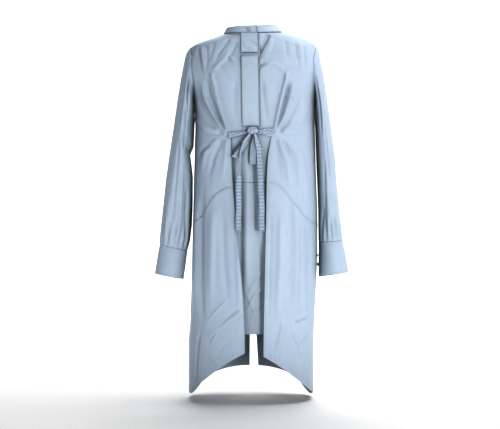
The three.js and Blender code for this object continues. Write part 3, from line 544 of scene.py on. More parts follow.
class Cloth:
    """Collects the faces of one piece in millimetres, then makes the mesh."""

    def __init__(self):
        self.points, self.maps, self.faces, self.paint, self.flat = [], [], [], [], []
        self.count = 0

    def face(self, corners, paint, flat=False):
        self.faces.append([int(i) for i in corners])
        self.paint.append(paint)
        self.flat.append(flat)

    def add(self, points, faces, paint=0, maps=None):
        points = np.asarray(points, float).reshape(-1, 3)
        self.points.append(points)
        self.maps.append(np.zeros((len(points), 2)) if maps is None else maps)
        for corners in faces:
            self.face([i + self.count for i in corners], paint)
        self.count += len(points)

    def sheet(self, at, columns, rows, thick=0.6, wrap=False, middle=(0, 0)):
        """at(s, t) gives the middle of the cloth, s across and t down, as arrays from 0 to 1."""
        s = np.linspace(0, 1, columns + 1)[:columns if wrap else columns + 1]
        grid_s, grid_t = np.meshgrid(s, np.linspace(0, 1, rows + 1))
        place = at(grid_s, grid_t)
        if wrap:
            across = np.roll(place, -1, 1) - np.roll(place, 1, 1)
        else:
            across = np.gradient(place, axis=1)
        out = unit(np.cross(across, np.gradient(place, axis=0)))
        centre = middle(place) if callable(middle) else (*middle, 0) + place * (0, 0, 1)
        if (out * (place - centre)).sum() < 0:
            out = -out
        tall, wide = place.shape[:2]
        step_s = np.linalg.norm(np.diff(place, axis=1), axis=-1).mean() * columns
        step_t = np.linalg.norm(np.diff(place, axis=0), axis=-1).mean() * rows
        maps = np.stack([grid_s * step_s, -grid_t * step_t], -1).reshape(-1, 2)
        n = wide * tall
        quads = []
        for r in range(tall - 1):
            for c in range(wide if wrap else wide - 1):
                a, b = r * wide + c, r * wide + (c + 1) % wide
                quads.append((a, b, b + wide, a + wide))
        normal = np.cross(place[0, 1] - place[0, 0], place[1, 0] - place[0, 0])
        turned = np.dot(normal, out[0, 0]) < 0
        if turned:
            quads = [q[::-1] for q in quads]
        base = self.count
        self.add(np.concatenate([place + out * thick / 2, place - out * thick / 2]),
                 quads + [tuple(i + n for i in q[::-1]) for q in quads],
                 maps=np.concatenate([maps] * 2))

        top = list(range(wide)) + ([0] if wrap else [])
        rims = [top, [(tall - 1) * wide + i for i in top][::-1]]
        if not wrap:
            rims += [[r * wide for r in range(tall)][::-1],
                     [r * wide + wide - 1 for r in range(tall)]]
        for path in rims:
            for a, b in zip(path, path[1:]):
                a, b = (a, b) if turned else (b, a)
                self.face([base + i for i in (a, a + n, b + n, b)], 0, flat=True)
        return self

    def stitches(self, at, s, t, pitch=PITCH, lift=0.55, middle=(0, 0)):
        """A row of stitches along a line of (s, t) on the cloth."""
        place = at(s, t)
        across = at(s + 0.004, t) - at(s - 0.004, t)
        down = at(s, t + 0.004) - at(s, t - 0.004)
        out = unit(np.cross(across, down))
        centre = (*middle, 0) + place * (0, 0, 1)
        out *= np.sign((out * (place - centre)).sum(-1, keepdims=True))
        run = np.r_[0, np.cumsum(np.linalg.norm(np.diff(place, axis=0), axis=-1))]
        marks = np.arange(pitch / 2, run[-1], pitch)

        def on_line(values, where):
            return np.stack([np.interp(where, run, values[:, i]) for i in range(3)], -1)
        seat = on_line(place, marks)
        ahead = unit(on_line(place, marks + 0.5) - seat)
        up = unit(on_line(out, marks))
        beside = np.cross(up, ahead) * 0.38
        ends = ahead * pitch * 0.34
        for p, a, b, u in zip(seat + up * lift, ends, beside, up):
            self.add([p + a, p - a, p + b, p - b, p + u * 0.3, p - u * 0.5],
                     [(0, 2, 4), (2, 1, 4), (1, 3, 4), (3, 0, 4),
                      (2, 0, 5), (1, 2, 5), (3, 1, 5), (0, 3, 5)], 1)

    def make(self, name, materials):
        mesh = bpy.data.meshes.new(name)
        mesh.from_pydata((np.concatenate(self.points) * MM).tolist(), [], self.faces)
        for material in materials:
            mesh.materials.append(material)
        mesh.polygons.foreach_set("material_index", self.paint)
        mesh.polygons.foreach_set("use_smooth", [not f for f in self.flat])
        layer = mesh.uv_layers.new(name="cloth")
        corner = np.empty(len(mesh.loops), int)
        mesh.loops.foreach_get("vertex_index", corner)
        layer.data.foreach_set("uv", (np.concatenate(self.maps)[corner] * MM).ravel())
        mesh.update()
        obj = bpy.data.objects.new(name, mesh)
        scene.collection.objects.link(obj)
        return obj


def line(value, count):
    """Values along a row of stitches: one number all the way, or a pair from end to end."""
    return np.linspace(*value, count) if isinstance(value, tuple) else np.full(count, float(value))


def sewn(name, at, columns, rows, seams=(), materials=CLOTH_AND_THREAD, thick=0.6, lift=0.55,
         wrap=False, middle=(0, 0), rows_middle=None):
    """Makes a piece from one surface. Each seam is the s and t of a row of stitches and the number
    of points it follows, with its own pitch and lift where it has them."""
    cloth = Cloth().sheet(at, columns, rows, thick, wrap, middle)
    for s, t, count, *own in seams:
        cloth.stitches(at, line(s, count), line(t, count), *(own or (PITCH, lift)),
                       rows_middle or middle)
    return cloth.make(name, materials)


def place_on(obj, body, *nodes, slot="poplin"):
    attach(obj, body)
    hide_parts(*nodes)


def bend(obj, body, start, along, reach, *nodes):
    """Bakes the piece's placement into its mesh and hides the CAD nodes that it replaces. The body,
    start, along and reach are not used.
    """
    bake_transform(obj)
    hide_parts(*nodes)


def across_hinge(side, run):
    """The way from a hinge that runs down a skirt to the part that turns on it."""
    run = Vector(run).normalized()
    inward = Vector((-side, 0, 0))
    return inward - run * inward.dot(run)


# ---------------------------------------------------------------- bodice
ALONG = (0.01, 0.99)  # nearly the whole of a seam


def placket_middle(z):
    return lerp(-5, 0, np.clip(-z / WAIST, 0, 1))


def cover_edge(z):
    return placket_middle(z) - 23


def closing_edge(z):
    return placket_middle(z) + 23


def front_edge(side, z):
    placket = np.where(side < 0, -cover_edge(z) + 0.4, closing_edge(z) + 0.4)
    return lerp(placket, free_edge(side, z), smooth((-z - WAIST - 1) / 7))


def front_at(side):
    placket_edge, press = {RIGHT: (cover_edge, 0.8), LEFT: (closing_edge, 2.4)}[side]
    chest_z = -60.0

    def at(s, t):
        start = np.abs(angle_at(side * front_edge(side, chest_z), chest_z))
        top = neckline(side * lerp(start, QUARTER, s)) - 0.5
        seam = hip_seam(side, s)
        z = lerp(top, seam, 0.35 * t ** 2 + 0.65 * t)
        inner = np.abs(angle_at(side * front_edge(side, z), z))
        angle = lerp(inner, side_angle(z, False), s)
        x = bare(side * angle, z)[..., 0]
        offset = pucker(z - seam, x, 9, 0.7, 7)
        # gathers held by the tie, where the front is drawn in to its free edge
        drawn = hump(z + WAIST + 4, 20) * hump(s, 0.12) * smooth((0.3 - s) / 0.15)
        offset = offset + drawn * np.sin(z / 2.1)
        # the front is pressed in along the placket's edge
        offset = offset - press * hump(np.abs(x) - np.abs(placket_edge(z)), 2.2) * (z > -WAIST)
        return folded_skin(side * angle, z, offset, FRONT_FOLDS)
    return at


def make_front(side):
    name = SIDE_NAME[side]
    obj = sewn(f"bodice_front_{name}", front_at(side), 92, 120,
               [(ALONG, 0.988, 120), (0.012, (0.75, 0.985), 40), (0.975, (0.2, 0.5), 60)])
    bend(obj, f"drape_{name}", (side * 103.5, -110, -436), (-side * 0.868, 0, -0.496), 38,
         f"front_{name}")


def back_way(s):
    """The side and the share of the way to the middle of the back, from the left side seam."""
    return np.where(s < 0.5, LEFT, RIGHT), 1 - np.abs(2 * s - 1)


def yoke_at(s, t):
    side, across = back_way(s)
    z = lerp(neckline(side * lerp(QUARTER, math.pi, across)) - 0.5, -YOKE_DROP, t)
    angle = lerp(side_angle(z, True), math.pi, across)
    return folded_skin(side * angle, z, 0.3, BACK_FOLDS)


def back_bodice_at(s, t):
    side, across = back_way(s)
    seam = hip_seam_back(lerp(QUARTER, math.pi, across))
    z = lerp(-YOKE_DROP - 0.3, seam, t)
    angle = lerp(side_angle(z, True), math.pi, across)
    x = bare(side * angle, z)[..., 0]
    # gathered under the middle of the yoke
    gather = 1.8 * np.sin(x / 3.2) * hump(x, 34) * np.exp(-((-z - YOKE_DROP) / 60))
    return folded_skin(side * angle, z, gather + pucker(z - seam, x, 9, 0.5, 9), BACK_FOLDS)


def make_back():
    yoke = sewn("shoulder_yoke", yoke_at, 96, 40, [((0.02, 0.98), 0.955, 160)])
    place_on(yoke, "gown", "back_yoke")
    back = sewn("bodice_back", back_bodice_at, 150, 100, [(ALONG, 0.986, 240)])
    place_on(back, "gown", "back_bodice")


# ---------------------------------------------------------------- skirt
FOLD_TOP_X, FOLD_FOOT = 103.5, (150, -1005)  # the fold line that the drape turns on
VENT_TOP, VENT_FOOT = -640, (110, -996)
TUCK = 3.0  # how far the skirt's top runs up under the bodice


def tucked(below):
    """Sinks the cloth under its neighbour's edge. below is the distance down from that edge."""
    return -0.25 * (1 - smooth((below + 1) / 2))


def skirt_front_at(side):
    def at(s, t):
        seam = hip_seam(side, s)
        foot = lerp(free_edge(side, -914.0), HEM_HALF, s ** 0.86)
        z = lerp(seam + TUCK, front_hem(foot), t)
        straight = lerp(edge_angle(side, z), QUARTER, s)
        foot_angle = np.abs(angle_at(side * foot, front_hem(foot)))
        angle = lerp(straight, lerp(foot_angle, straight, 1 - t), smooth(t))
        x = bare(side * angle, z)[..., 0]
        offset = pucker(seam - z, x, 9, 0.4, 9) + tucked(seam - z)
        offset = offset + pucker(z - front_hem(x) - 12, x, 14, 0.45, 7)
        return folded_skin(side * angle, z, offset, FRONT_FOLDS)
    return at


def vent_edge(side, z):
    return 0.5 + np.clip((-z + VENT_TOP) / 340, 0, 1) * (12.5 + side * 9)


def skirt_back_at(side):
    vent_foot_z = -980.0

    def at(s, t):
        top = hip_seam_back(lerp(QUARTER, math.pi, s)) + TUCK
        vent = np.abs(angle_at(side * vent_edge(side, vent_foot_z), vent_foot_z, True))
        z = lerp(top, back_hem(lerp(QUARTER, vent, s)), t)
        angle = lerp(QUARTER, np.abs(angle_at(side * vent_edge(side, z), z, True)), s)
        x = bare(side * angle, z)[..., 0]
        offset = pucker(top - z, x, 9, 0.4, 9) + tucked(top - TUCK - z)
        return folded_skin(side * angle, z, offset, BACK_FOLDS)
    return at


def make_skirt(side):
    name = SIDE_NAME[side]
    front = sewn(f"skirt_front_{name}", skirt_front_at(side), 92, 150,
                 [(ALONG, 0.973, 120), (ALONG, 0.012, 120), (0.016, (0.01, 0.97), 160)])
    fold = (side * (FOLD_FOOT[0] - FOLD_TOP_X), 0, FOLD_FOOT[1] + 442)
    bend(front, f"drape_{name}", (side * FOLD_TOP_X, -110, -442), across_hinge(side, fold), 38,
         f"skirt_side_{name}", f"front_drape_{name}")
    back = sewn(f"skirt_back_{name}", skirt_back_at(side), 92, 120,
                [(ALONG, 0.972, 120), (ALONG, 0.012, 120), (0.97, (0.3, 0.97), 110)])
    crease = (side * VENT_FOOT[0], 0, VENT_FOOT[1] - VENT_TOP)
    bend(back, f"vent_{name}", (0, 120, VENT_TOP), across_hinge(side, crease), 34,
         f"back_skirt_{name}", f"back_vent_{name}")


CENTRE_HALF = 92
CENTRE_HEM = -862


def centre_skin(x, z):
    """The centre panel hangs behind the fronts, deepest at its foot."""
    fall = np.clip((-z - WAIST) / 562, 0, 1)
    middle = 1 - smooth(np.abs(x) / CENTRE_HALF)
    recess = 3.0 + 4.0 * smooth(fall * 7) + 17 * fall * middle
    recess = recess + 4 * smooth(fall * 5) * smooth(np.abs(x) / 40)
    return skin(angle_at(x, z), z, -recess + fold_height(x, z, CENTRE_FOLDS))


def centre_bodice_at(s, t):
    return centre_skin(lerp(-CENTRE_HALF, CENTRE_HALF, s), lerp(-296.5, -436, t))


def centre_skirt_at(s, t):
    x = lerp(-CENTRE_HALF, CENTRE_HALF, s)
    z = lerp(-436.5, CENTRE_HEM, t)
    place = centre_skin(x, z)
    place[..., 1] -= pucker(CENTRE_HEM + 42 - z, x, 12, 0.4, 5)
    return place


def make_centre():
    upper = sewn("centre_panel_upper", centre_bodice_at, 90, 50,
                 [(ALONG, 0.965, 100), (ALONG, 0.925, 100)])
    place_on(upper, "gown", "centre_bodice")
    lower = sewn("centre_panel_lower", centre_skirt_at, 90, 130,
                 [(ALONG, 0.012, 100), (ALONG, 0.9, 100)])
    place_on(lower, "gown", "centre_skirt")


# ---------------------------------------------------------------- placket
STRIP_TOP, STRIP_FOOT = -15, -296


def strip_at(left, right, top, bottom, offset):
    def at(s, t):
        z = lerp(top, bottom, t)
        x = lerp(left(z), right(z), s)
        return skin(angle_at(x, z), z, offset(x, z))
    return at


def cover_lift(x, z):
    """The loose cover bows a little between its edges and ripples beside its topstitching."""
    bow = 0.7 * np.cos((x - placket_middle(z)) / 23 * QUARTER) + 0.25 * np.sin(z / 17)
    ripple = 0.35 * np.sin(z / 6) * hump(x - cover_edge(z), 5)
    return 5.2 - 3.4 * (1 - smooth((-z - 78) / 12)) + bow + ripple


def top_lift(x, z):
    return 3.6 + fold_height(x, z, PLACKET_FOLDS) + 4.4 * smooth((-z - 50) / 20)


def make_placket():
    stand = strip_at(lambda z: placket_middle(z) - 12, lambda z: closing_edge(z) + 8,
                     STRIP_TOP, STRIP_FOOT, lambda x, z: -1.8)
    place_on(sewn("button_stand_strip", stand, 14, 90, [(0.06, ALONG, 90)]),
             "gown", "button_stand")

    strip = strip_at(cover_edge, lambda z: closing_edge(z) - 3,
                     STRIP_TOP, STRIP_FOOT, lambda x, z: -0.1)
    seams = [(0.94, ALONG, 90)]
    for i in range(4):  # the two close rows of each buttonhole
        t = (STRIP_TOP - lerp(-95, -256, i / 3)) / (STRIP_TOP - STRIP_FOOT)
        seams += [(s, (t - 0.025, t + 0.025), 12, 0.9, 0.45) for s in (0.5, 0.56)]
    place_on(sewn("buttonhole_strip_poplin", strip, 14, 90, seams), "gown", "buttonhole_strip")

    upper = strip_at(cover_edge, closing_edge, -14.6, -73, top_lift)
    seams = [(0.08, (0.02, 0.8), 30), (0.92, (0.02, 0.8), 30), ((0.05, 0.95), 0.955, 24)]
    place_on(sewn("placket_sewn_top", upper, 30, 40, seams, thick=1.3, lift=0.85),
             "gown", "placket_top")

    inside = strip_at(lambda z: cover_edge(z) + 2, lambda z: closing_edge(z) - 2, -76, -276,
                      lambda x, z: cover_lift(x, z) - 1.7)
    place_on(sewn("placket_cover_interlining", inside, 10, 60, (), (INTERLINING,), thick=0.5),
             "placket_flap", "placket_interlining", slot="interlining")

    cover = strip_at(cover_edge, closing_edge, -74.2, -278, cover_lift)
    seams = [(0.07, ALONG, 120), (0.93, ALONG, 120), ((0.06, 0.94), 0.985, 24)]
    place_on(sewn("placket_cover_panel", cover, 30, 130, seams, thick=0.9, lift=0.65),
             "placket_flap", "placket_cover")


# ---------------------------------------------------------------- buttons
BUTTON_RADIUS = 5.5
# the turned face, rim and back, as (distance from the middle, height)
BUTTON_PROFILE = [(0, 0.25), (2.4, 0.3), (3.3, 0.55), (4.0, 1.0), (4.7, 1.05), (5.3, 0.7),
                  (5.5, 0.0), (5.2, -0.8), (4.0, -1.0), (0, -1.0)]


def box_middle(cad_node):
    low, high = (np.array(v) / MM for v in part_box(cad_node))
    return (low + high) / 2


def make_button(name, cad_node, body, out, radius=BUTTON_RADIUS):
    """A turned four-hole button sewn with a cross, in the place of its plain disc."""
    centre = box_middle(cad_node)
    turn = Vector(out).normalized().to_track_quat("Z", "Y")

    def spot(x, y, h):
        return np.array(turn @ Vector((x, y, h))) + centre
    sides, size = 40, radius / BUTTON_RADIUS
    turns = [2 * math.pi * i / sides for i in range(sides)]
    cloth = Cloth()
    cloth.add([spot(r * size * math.cos(a), r * size * math.sin(a), h)
               for r, h in BUTTON_PROFILE for a in turns],
              [(k + (i + 1) % sides, k + i, k + sides + i, k + sides + (i + 1) % sides)
               for k in range(0, (len(BUTTON_PROFILE) - 1) * sides, sides) for i in range(sides)])
    for ax, ay in ((1, 1), (-1, 1)):
        for end in (-1.1, 1.1):  # thread fills the holes
            cloth.add([spot(end * ax + 0.45 * math.cos(a), end * ay + 0.45 * math.sin(a), 0.33)
                       for a in np.arange(8) * math.pi / 4], [tuple(range(8))], 1)
        along = Vector((ax, ay, 0)).normalized()
        beside = Vector((-ay, ax, 0)).normalized()
        thread = []
        for step, lift in ((-1.7, 0.2), (-0.8, 0.85), (0.8, 0.85), (1.7, 0.2)):
            for b, h in ((-0.22, lift), (0.22, lift), (0.22, lift + 0.3), (-0.22, lift + 0.3)):
                flat = along * step + beside * b
                thread.append(spot(flat.x, flat.y, h))
        sides_of = [(k + i, k + (i + 1) % 4, k + 4 + (i + 1) % 4, k + 4 + i)
                    for k in (0, 4, 8) for i in range(4)]
        cloth.add(thread, sides_of + [(3, 2, 1, 0), (12, 13, 14, 15)], 1)
    place_on(cloth.make(name, (RESIN, THREAD)), body, cad_node, slot="button")


def make_buttons():
    for i in range(1, 5):
        x, _, z = box_middle(f"placket_button_{i}")
        out = outward(angle_at(np.array([x]), np.array([z])), np.array([z]))[0]
        make_button(f"placket_resin_button_{i}", f"placket_button_{i}", "gown", out)
    x, y, _ = box_middle("collar_button")
    make_button("collar_resin_button", "collar_button", "gown", (x * 0.6, y, 14), 5.0)
    for side in (RIGHT, LEFT):
        name = SIDE_NAME[side]
        for i in (1, 2):
            make_button(f"cuff_resin_button_{name}_{i}", f"cuff_button_{name}_{i}", f"arm_{name}",
                        (-side * 0.775, 0.632, -0.14))


# ---------------------------------------------------------------- collar
OVERLAP = float(angle_at(np.array([17.0]), np.array([-14.0]))[0])


def on_band(angle, rise, out):
    """A place on the collar band, above the neckline. Its right end laps over its left."""
    turned = np.mod(angle + math.pi, 2 * math.pi) - math.pi
    lift = 5.15 * smooth((angle - 1.6 * math.pi) / (0.3 * math.pi))
    place = bare(turned, neckline(turned))
    away = unit((place + (0, 17, 0)) * (1, 1, 0))
    lean = (13 + 9 * smooth(np.sin(angle))) * rise / 25
    place = place + away * (out + lift - 2.57 - lean)[..., None]
    place[..., 2] += rise
    return place


def band_at(s, t):
    angle = lerp(-OVERLAP, 2 * math.pi + OVERLAP, s)
    high = 25 - 6.5 * smooth(-np.sin(angle)) - 2.5 * np.maximum(0, np.cos(angle))
    return on_band(angle, lerp(high, 1.5, t), 2.15 + 0.35 * np.sin(angle * 9) * (1 - t))


def label_at(s, t):
    return on_band(math.pi + lerp(-0.4, 0.4, s), lerp(20, 6, t), -1.2)


def make_collar():
    hole = 1 - (OVERLAP + 0.05) / (2 * math.pi + 2 * OVERLAP)
    seams = [((0.004, 0.996), t, 220) for t in (0.1, 0.9)] + [(0.992, (0.12, 0.88), 10)]
    seams += [((hole - 0.012, hole + 0.012), t, 16, 0.9, 1.75) for t in (0.44, 0.56)]
    place_on(sewn("collar_band", band_at, 180, 12, seams, thick=3.4, lift=1.8), "gown",
             "collar_band_outer", "collar_band_inner", "collar_interlining")
    seams = [((0.02, 0.98), t, 40, 2.2, -0.3) for t in (0.08, 0.92)]
    place_on(sewn("blank_neck_label", label_at, 40, 12, seams, (SATIN, THREAD), thick=0.4),
             "gown", "neck_label", slot="label")


# ---------------------------------------------------------------- tie
KNOT = np.array([4.0, -126.6, -291.5])
TAIL_TOP, TAIL_FOOT = -303, -572


def make_knot():
    def core(s, t):
        turn, fall = 2 * math.pi * s, math.pi * (0.04 + 0.92 * t)
        ridge = 1 + 0.11 * np.sin(5 * turn + 5 * fall) + 0.08 * np.sin(9 * fall)
        square = np.abs(np.sin(fall)) ** 0.6
        x = 13 * square * signed_power(np.cos(turn), 0.75) * ridge
        y = 6.6 * square * signed_power(np.sin(turn), 0.75) * ridge
        return np.stack([x, y, 10 * signed_power(np.cos(fall), 0.7)], -1) + KNOT

    def wrap(s, t):
        turn = 2 * math.pi * s
        fold = 0.7 * np.cos(t * 4 * math.pi) + 0.35 * np.sin(3 * turn)
        y = -(7.2 + fold) * np.cos(turn)
        z = (10.4 + fold) * np.sin(turn)
        return np.stack([lerp(-5.5, 5.5, t) + 0.32 * z, y, z], -1) + KNOT

    def middle(place):
        return KNOT + 0 * place
    cloth = Cloth().sheet(core, 64, 40, 0.6, True, middle).sheet(wrap, 64, 16, 0.8, True, middle)
    place_on(cloth.make("bow_knot_wrapped", (RIBBON,)), "gown", "bow_knot")


def strap_at(side):
    # the two ends of the strap as (upper edge, lower edge), and how far out it goes
    inner, outer, stop = {RIGHT: ((-292.5, -299.5), (-296, -312), -62.0),
                          LEFT: ((-291, -300), (-284.5, -299.5), 63.0)}[side]

    def at(s, t):
        x = lerp(KNOT[0] + side * 13, stop, s)
        high, low = lerp(inner[0], outer[0], s), lerp(inner[1], outer[1], s)
        crinkle = 0.5 * np.sin(s * 34 + 3 * t)
        if side == LEFT:
            high = high + 2 * np.sin(s * math.pi) + 0.8 * np.sin(s * 21)
            crinkle = crinkle + 0.7 * np.sin(s * 19 - 7 * t)
        z = lerp(high, low, t)
        roll = 3.4 * np.sin(math.pi * t) ** 0.7
        ply = 1.8 * hump(t - 0.5 - 0.12 * np.sin(s * 9), 0.1)
        return skin(angle_at(x, z), z, 2.6 + roll + crinkle - ply)
    return at


def tail_at(side):
    path = {
        RIGHT: ([303, 320, 346, 430, 572], [-4, -17, -28.5, -33.5, -34.5]),
        LEFT: ([303, 320, 346, 486, 572], [11, 15.5, 22.5, 29.5, 30.5]),
    }[side]

    def at(s, t):
        z = lerp(TAIL_TOP, TAIL_FOOT, t)
        run = -z + TAIL_TOP
        if side == RIGHT:
            turn = 1.25 * (1 - smooth((run - 105) / 30)) * smooth(run / 40)
        else:
            turn = 0.35 * (1 - smooth(run / 90))
        half = lerp(3.2, 7.3, smooth(run / 34)) + 0.3 * np.sin(run * 0.9)
        phase = run * 2 * math.pi / 9.6 + 0.5 * np.sin(run / 23) + 0.5 * np.sin(3 * s)
        crimp = 1.5 * smooth(run / 30) * np.sin(phase)
        across = lerp(-1, 1, s) * half
        x = look(path, -z) + across * np.cos(turn) + 0.5 * np.sin(run / 14)
        y = -131.6 - 2.4 * smooth(run / 40) + across * np.sin(turn) * 0.45 - crimp * 0.75
        frayed = np.where(t > 0.97, 2.2 * np.sin(s * 17) * (t - 0.97) / 0.03, 0)
        return np.stack([x, y, z + 0.35 * crimp + frayed], -1)
    return at


def loop_at(side):
    slant, length, twist, sunk = {RIGHT: (-0.62, 76, 0.3, 1.6), LEFT: (-0.05, 82, -0.4, 0)}[side]
    start = KNOT[0] + side * 6.5

    def at(s, t):
        turn = 2 * math.pi * s
        low = (1 - np.cos(turn)) / 2
        high = -length * low
        half = lerp(3, 9.5, smooth(low * 2.4))
        crimp = 0.8 * smooth((low - 0.15) * 3) * np.sin(high * 2 * math.pi / 6.5)
        x0 = lerp(-half, half, t)
        # the loop stands open at the foot and shows its hollow side
        deep = (1.2 + 5.4 * smooth(low * 1.2)) * np.sin(turn)
        deep = deep + crimp * signed_power(np.sin(turn), 0.3)
        deep = deep + 1.2 * np.cos(math.pi * (t - 0.5)) * low
        yaw = twist * smooth(low * 2)
        aside = x0 * np.cos(yaw) - deep * np.sin(yaw)
        ahead = x0 * np.sin(yaw) + deep * np.cos(yaw)
        x = start + aside * math.cos(slant) - high * math.sin(slant)
        z = -303.6 + aside * math.sin(slant) * 0.6 + high * math.cos(slant) - sunk
        return np.stack([x, -123.6 + ahead, z], -1)
    return at


def loop_middle(place):
    return place.mean(axis=1, keepdims=True) * (0, 1, 0) + place * (1, 0, 1)


def make_tie():
    make_knot()
    for side in (RIGHT, LEFT):
        name = SIDE_NAME[side]
        strap = sewn(f"tie_strap_ribbon_{name}", strap_at(side), 70, 20, (), (RIBBON,), thick=1.0)
        place_on(strap, "gown", f"tie_strap_{name}")
        seams = [(s, (0.03, 0.985), 240, 3.2, 0.7) for s in (0.12, 0.88)]
        tail = sewn(f"tie_tail_ribbon_{name}", tail_at(side), 14, 260, seams, (RIBBON, THREAD),
                    thick=0.9, middle=(0, 400))
        bend(tail, f"tail_{name}", (0, -131, -303), (0, 0, -1), 12, f"tie_tail_{name}")
        loop = sewn(f"bow_loop_ribbon_{name}", loop_at(side), 110, 12, (), (RIBBON,),
                    thick=0.9, wrap=True, middle=loop_middle)
        bend(loop, f"loop_{name}", (0, -123, -304), (0, 0, -1), 10, f"bow_loop_{name}")


# ---------------------------------------------------------------- sleeves and cuffs
# The outer and inner lines of each sleeve: drop and distance from the middle.
OUTER_LINE = {
    RIGHT: ([42, 50, 60, 78, 107, 136, 194, 252, 310, 368, 426, 484, 542, 600, 612],
            [173, 181, 187, 192, 198, 203.5, 213, 221, 229.5, 238, 246, 252, 258, 264, 265]),
    LEFT: ([42, 50, 60, 78, 107, 136, 194, 252, 310, 368, 426, 484, 542, 601],
           [188, 194.5, 197, 200.5, 207, 212.5, 220.5, 229, 236, 243.6, 247, 252, 258, 265]),
}
INNER_LINE = {
    RIGHT: ([200, 255, 330, 354, 387, 420, 500, 557, 600, 631],
            [167, 163, 166.5, 176, 171.5, 168, 168.5, 170.5, 176, 184]),
    LEFT: ([200, 255, 340, 441, 516, 560, 606], [187.5, 186, 188, 191.5, 194, 194.5, 195]),
}
CUFF = {
    # outer and inner ends of the seam, then of the foot, as (from the middle, height)
    RIGHT: ((264, -612), (183.5, -631), (277, -696), (194.5, -712)),
    LEFT: ((265, -601), (195, -606), (280.5, -692), (195.5, -704)),
}
SLEEVE_FOLDS = {
    RIGHT: [
        (-183, -66, -174, -124, -165, -206, 6, 4, 5.0, 0.1, 0.4),
        (-192, -90, -186, -165, -171, -264, 5, 6, -4.5, 0.15, 0.4),
        (-197, -113, -203, -223, -212, -368, 7, 8, 3.5, 0.15, 0.4),
        (-189, -194, -183, -310, -183, -345, 7, 6, -4.0, 0.3, 0.1),
        (-206, -252, -218, -426, -229, -594, 7, 7, -4.0, 0.3, 0.2),
        (-189, -368, -197, -484, -206, -600, 6, 7, 4.0, 0.3, 0.15),
        (-174, -440, -183, -527, -186, -614, 5, 5, -4.0, 0.2, 0.15),
        (-238, -455, -244, -542, -247, -600, 6, 6, 3.0, 0.3, 0.2),
        (-177, -580, -183, -600, -200, -617, 3, 4, -2.5, 0.1, 0.3),
    ],
    LEFT: [
        (188, -66, 188, -165, 188, -310, 4, 5, -2.5, 0.1, 0.2),
        (200, -84, 203, -194, 206, -339, 6, 6, 4.0, 0.15, 0.4),
        (214, -223, 223, -397, 232, -571, 7, 7, -3.0, 0.3, 0.3),
        (203, -339, 209, -484, 214, -594, 6, 6, -2.5, 0.3, 0.2),
        (235, -339, 244, -484, 252, -588, 6, 6, 2.5, 0.3, 0.2),
        (203, -498, 203, -556, 200, -600, 4, 4, -3.0, 0.3, 0.1),
    ],
}
# Where the cuff's ends lap, as the part of a turn round it.
LAP = (2 * math.pi * 9 / 16, 2 * math.pi * 10 / 16)


def armhole_place(side, turn):
    half = (ARMHOLE_BOTTOM - ARMHOLE_TOP) / 2
    z = -(ARMHOLE_TOP + ARMHOLE_BOTTOM) / 2 + half * np.cos(turn)
    angle = np.where(np.sin(turn) < 0, side_angle(z, True), side_angle(z, False))
    place = skin(side * angle, z, 0.6)
    place[..., 0] += side * 0.5
    return place


def line_place(line_table, drop):
    return np.stack([look(line_table, drop), -drop], -1)


def on_sleeve(side, turn, t, out=0.0):
    """A place on the sleeve: turn goes round it from the outer line, t down it to the cuff."""
    outer_drop = lerp(ARMHOLE_TOP, -CUFF[side][0][1], t)
    inner_drop = lerp(ARMHOLE_BOTTOM, -CUFF[side][1][1], t)
    outer = line_place(OUTER_LINE[side], outer_drop)
    inner = line_place(INNER_LINE[side], inner_drop)
    middle, half = (outer + inner) / 2, (outer - inner) / 2
    wide = np.linalg.norm(half, axis=-1)
    gather = 9 * (1 - smooth((t - 0.93) / 0.07)) * t
    depth = lerp(ARMHOLE_HALF_DEPTH, 35.5, smooth(t * 1.1)) + gather
    # the cloth falls in long flutes that tighten into pleats at the cuff
    flute = 1.6 * smooth(t * 4) * np.sin(5 * turn + 2.2 * np.sin(2.6 * t + side))
    pleat = 1.9 * smooth((t - 0.82) / 0.1) * np.sin(15 * turn)
    swell = flute * (1 - smooth((t - 0.8) * 6)) + pleat * (1 - 0.75 * smooth((t - 0.96) / 0.04))
    front = smooth(np.sin(turn) * 2.2)
    spot = middle[..., 0] + wide * np.cos(turn)
    drop = middle[..., 1] + half[..., 1] * np.cos(turn)
    swell = swell + front * fold_height(side * spot, drop, SLEEVE_FOLDS[side])
    guard = 1 - 0.75 * smooth(np.abs(np.cos(turn)) * 3 - 2)
    swell = out + swell * guard * smooth(t * 9)
    place = middle + unit(half) * ((wide + swell) * np.cos(turn))[..., None]
    y = -(depth + swell) * np.sin(turn) - 12 * t * t
    # the head of the sleeve settles onto the armhole
    flat_outer = line_place(OUTER_LINE[side], ARMHOLE_TOP)
    flat_inner = line_place(INNER_LINE[side], ARMHOLE_BOTTOM)
    flat = lerp(flat_inner, flat_outer, (1 + np.cos(turn)[..., None]) / 2)
    start = np.stack([side * flat[..., 0], -ARMHOLE_HALF_DEPTH * np.sin(turn), flat[..., 1]], -1)
    settle = (1 - np.clip(t / 0.3, 0, 1)) ** 2
    return (np.stack([side * place[..., 0], y, place[..., 1]], -1)
            + (armhole_place(side, turn) - start) * settle[..., None])


def on_cuff(side, turn, t, level):
    """A place on the cuff, standing out by a level in millimetres."""
    seam_out, seam_in, foot_out, foot_in = (np.array(p, float) for p in CUFF[side])
    outer = lerp(seam_out, foot_out, t[..., None])
    inner = lerp(seam_in, foot_in, t[..., None])
    middle, half = (outer + inner) / 2, (outer - inner) / 2
    reach = (np.linalg.norm(half, axis=-1) - 3 + level) * np.cos(turn)
    place = middle + unit(half) * reach[..., None]
    y = -12 - 7.5 * t - (33 + level) * np.sin(turn)
    return np.stack([side * place[..., 0], y, place[..., 1]], -1)


def ring_middle(place):
    return place.mean(axis=1, keepdims=True) * (1, 1, 0) + place * (0, 0, 1)


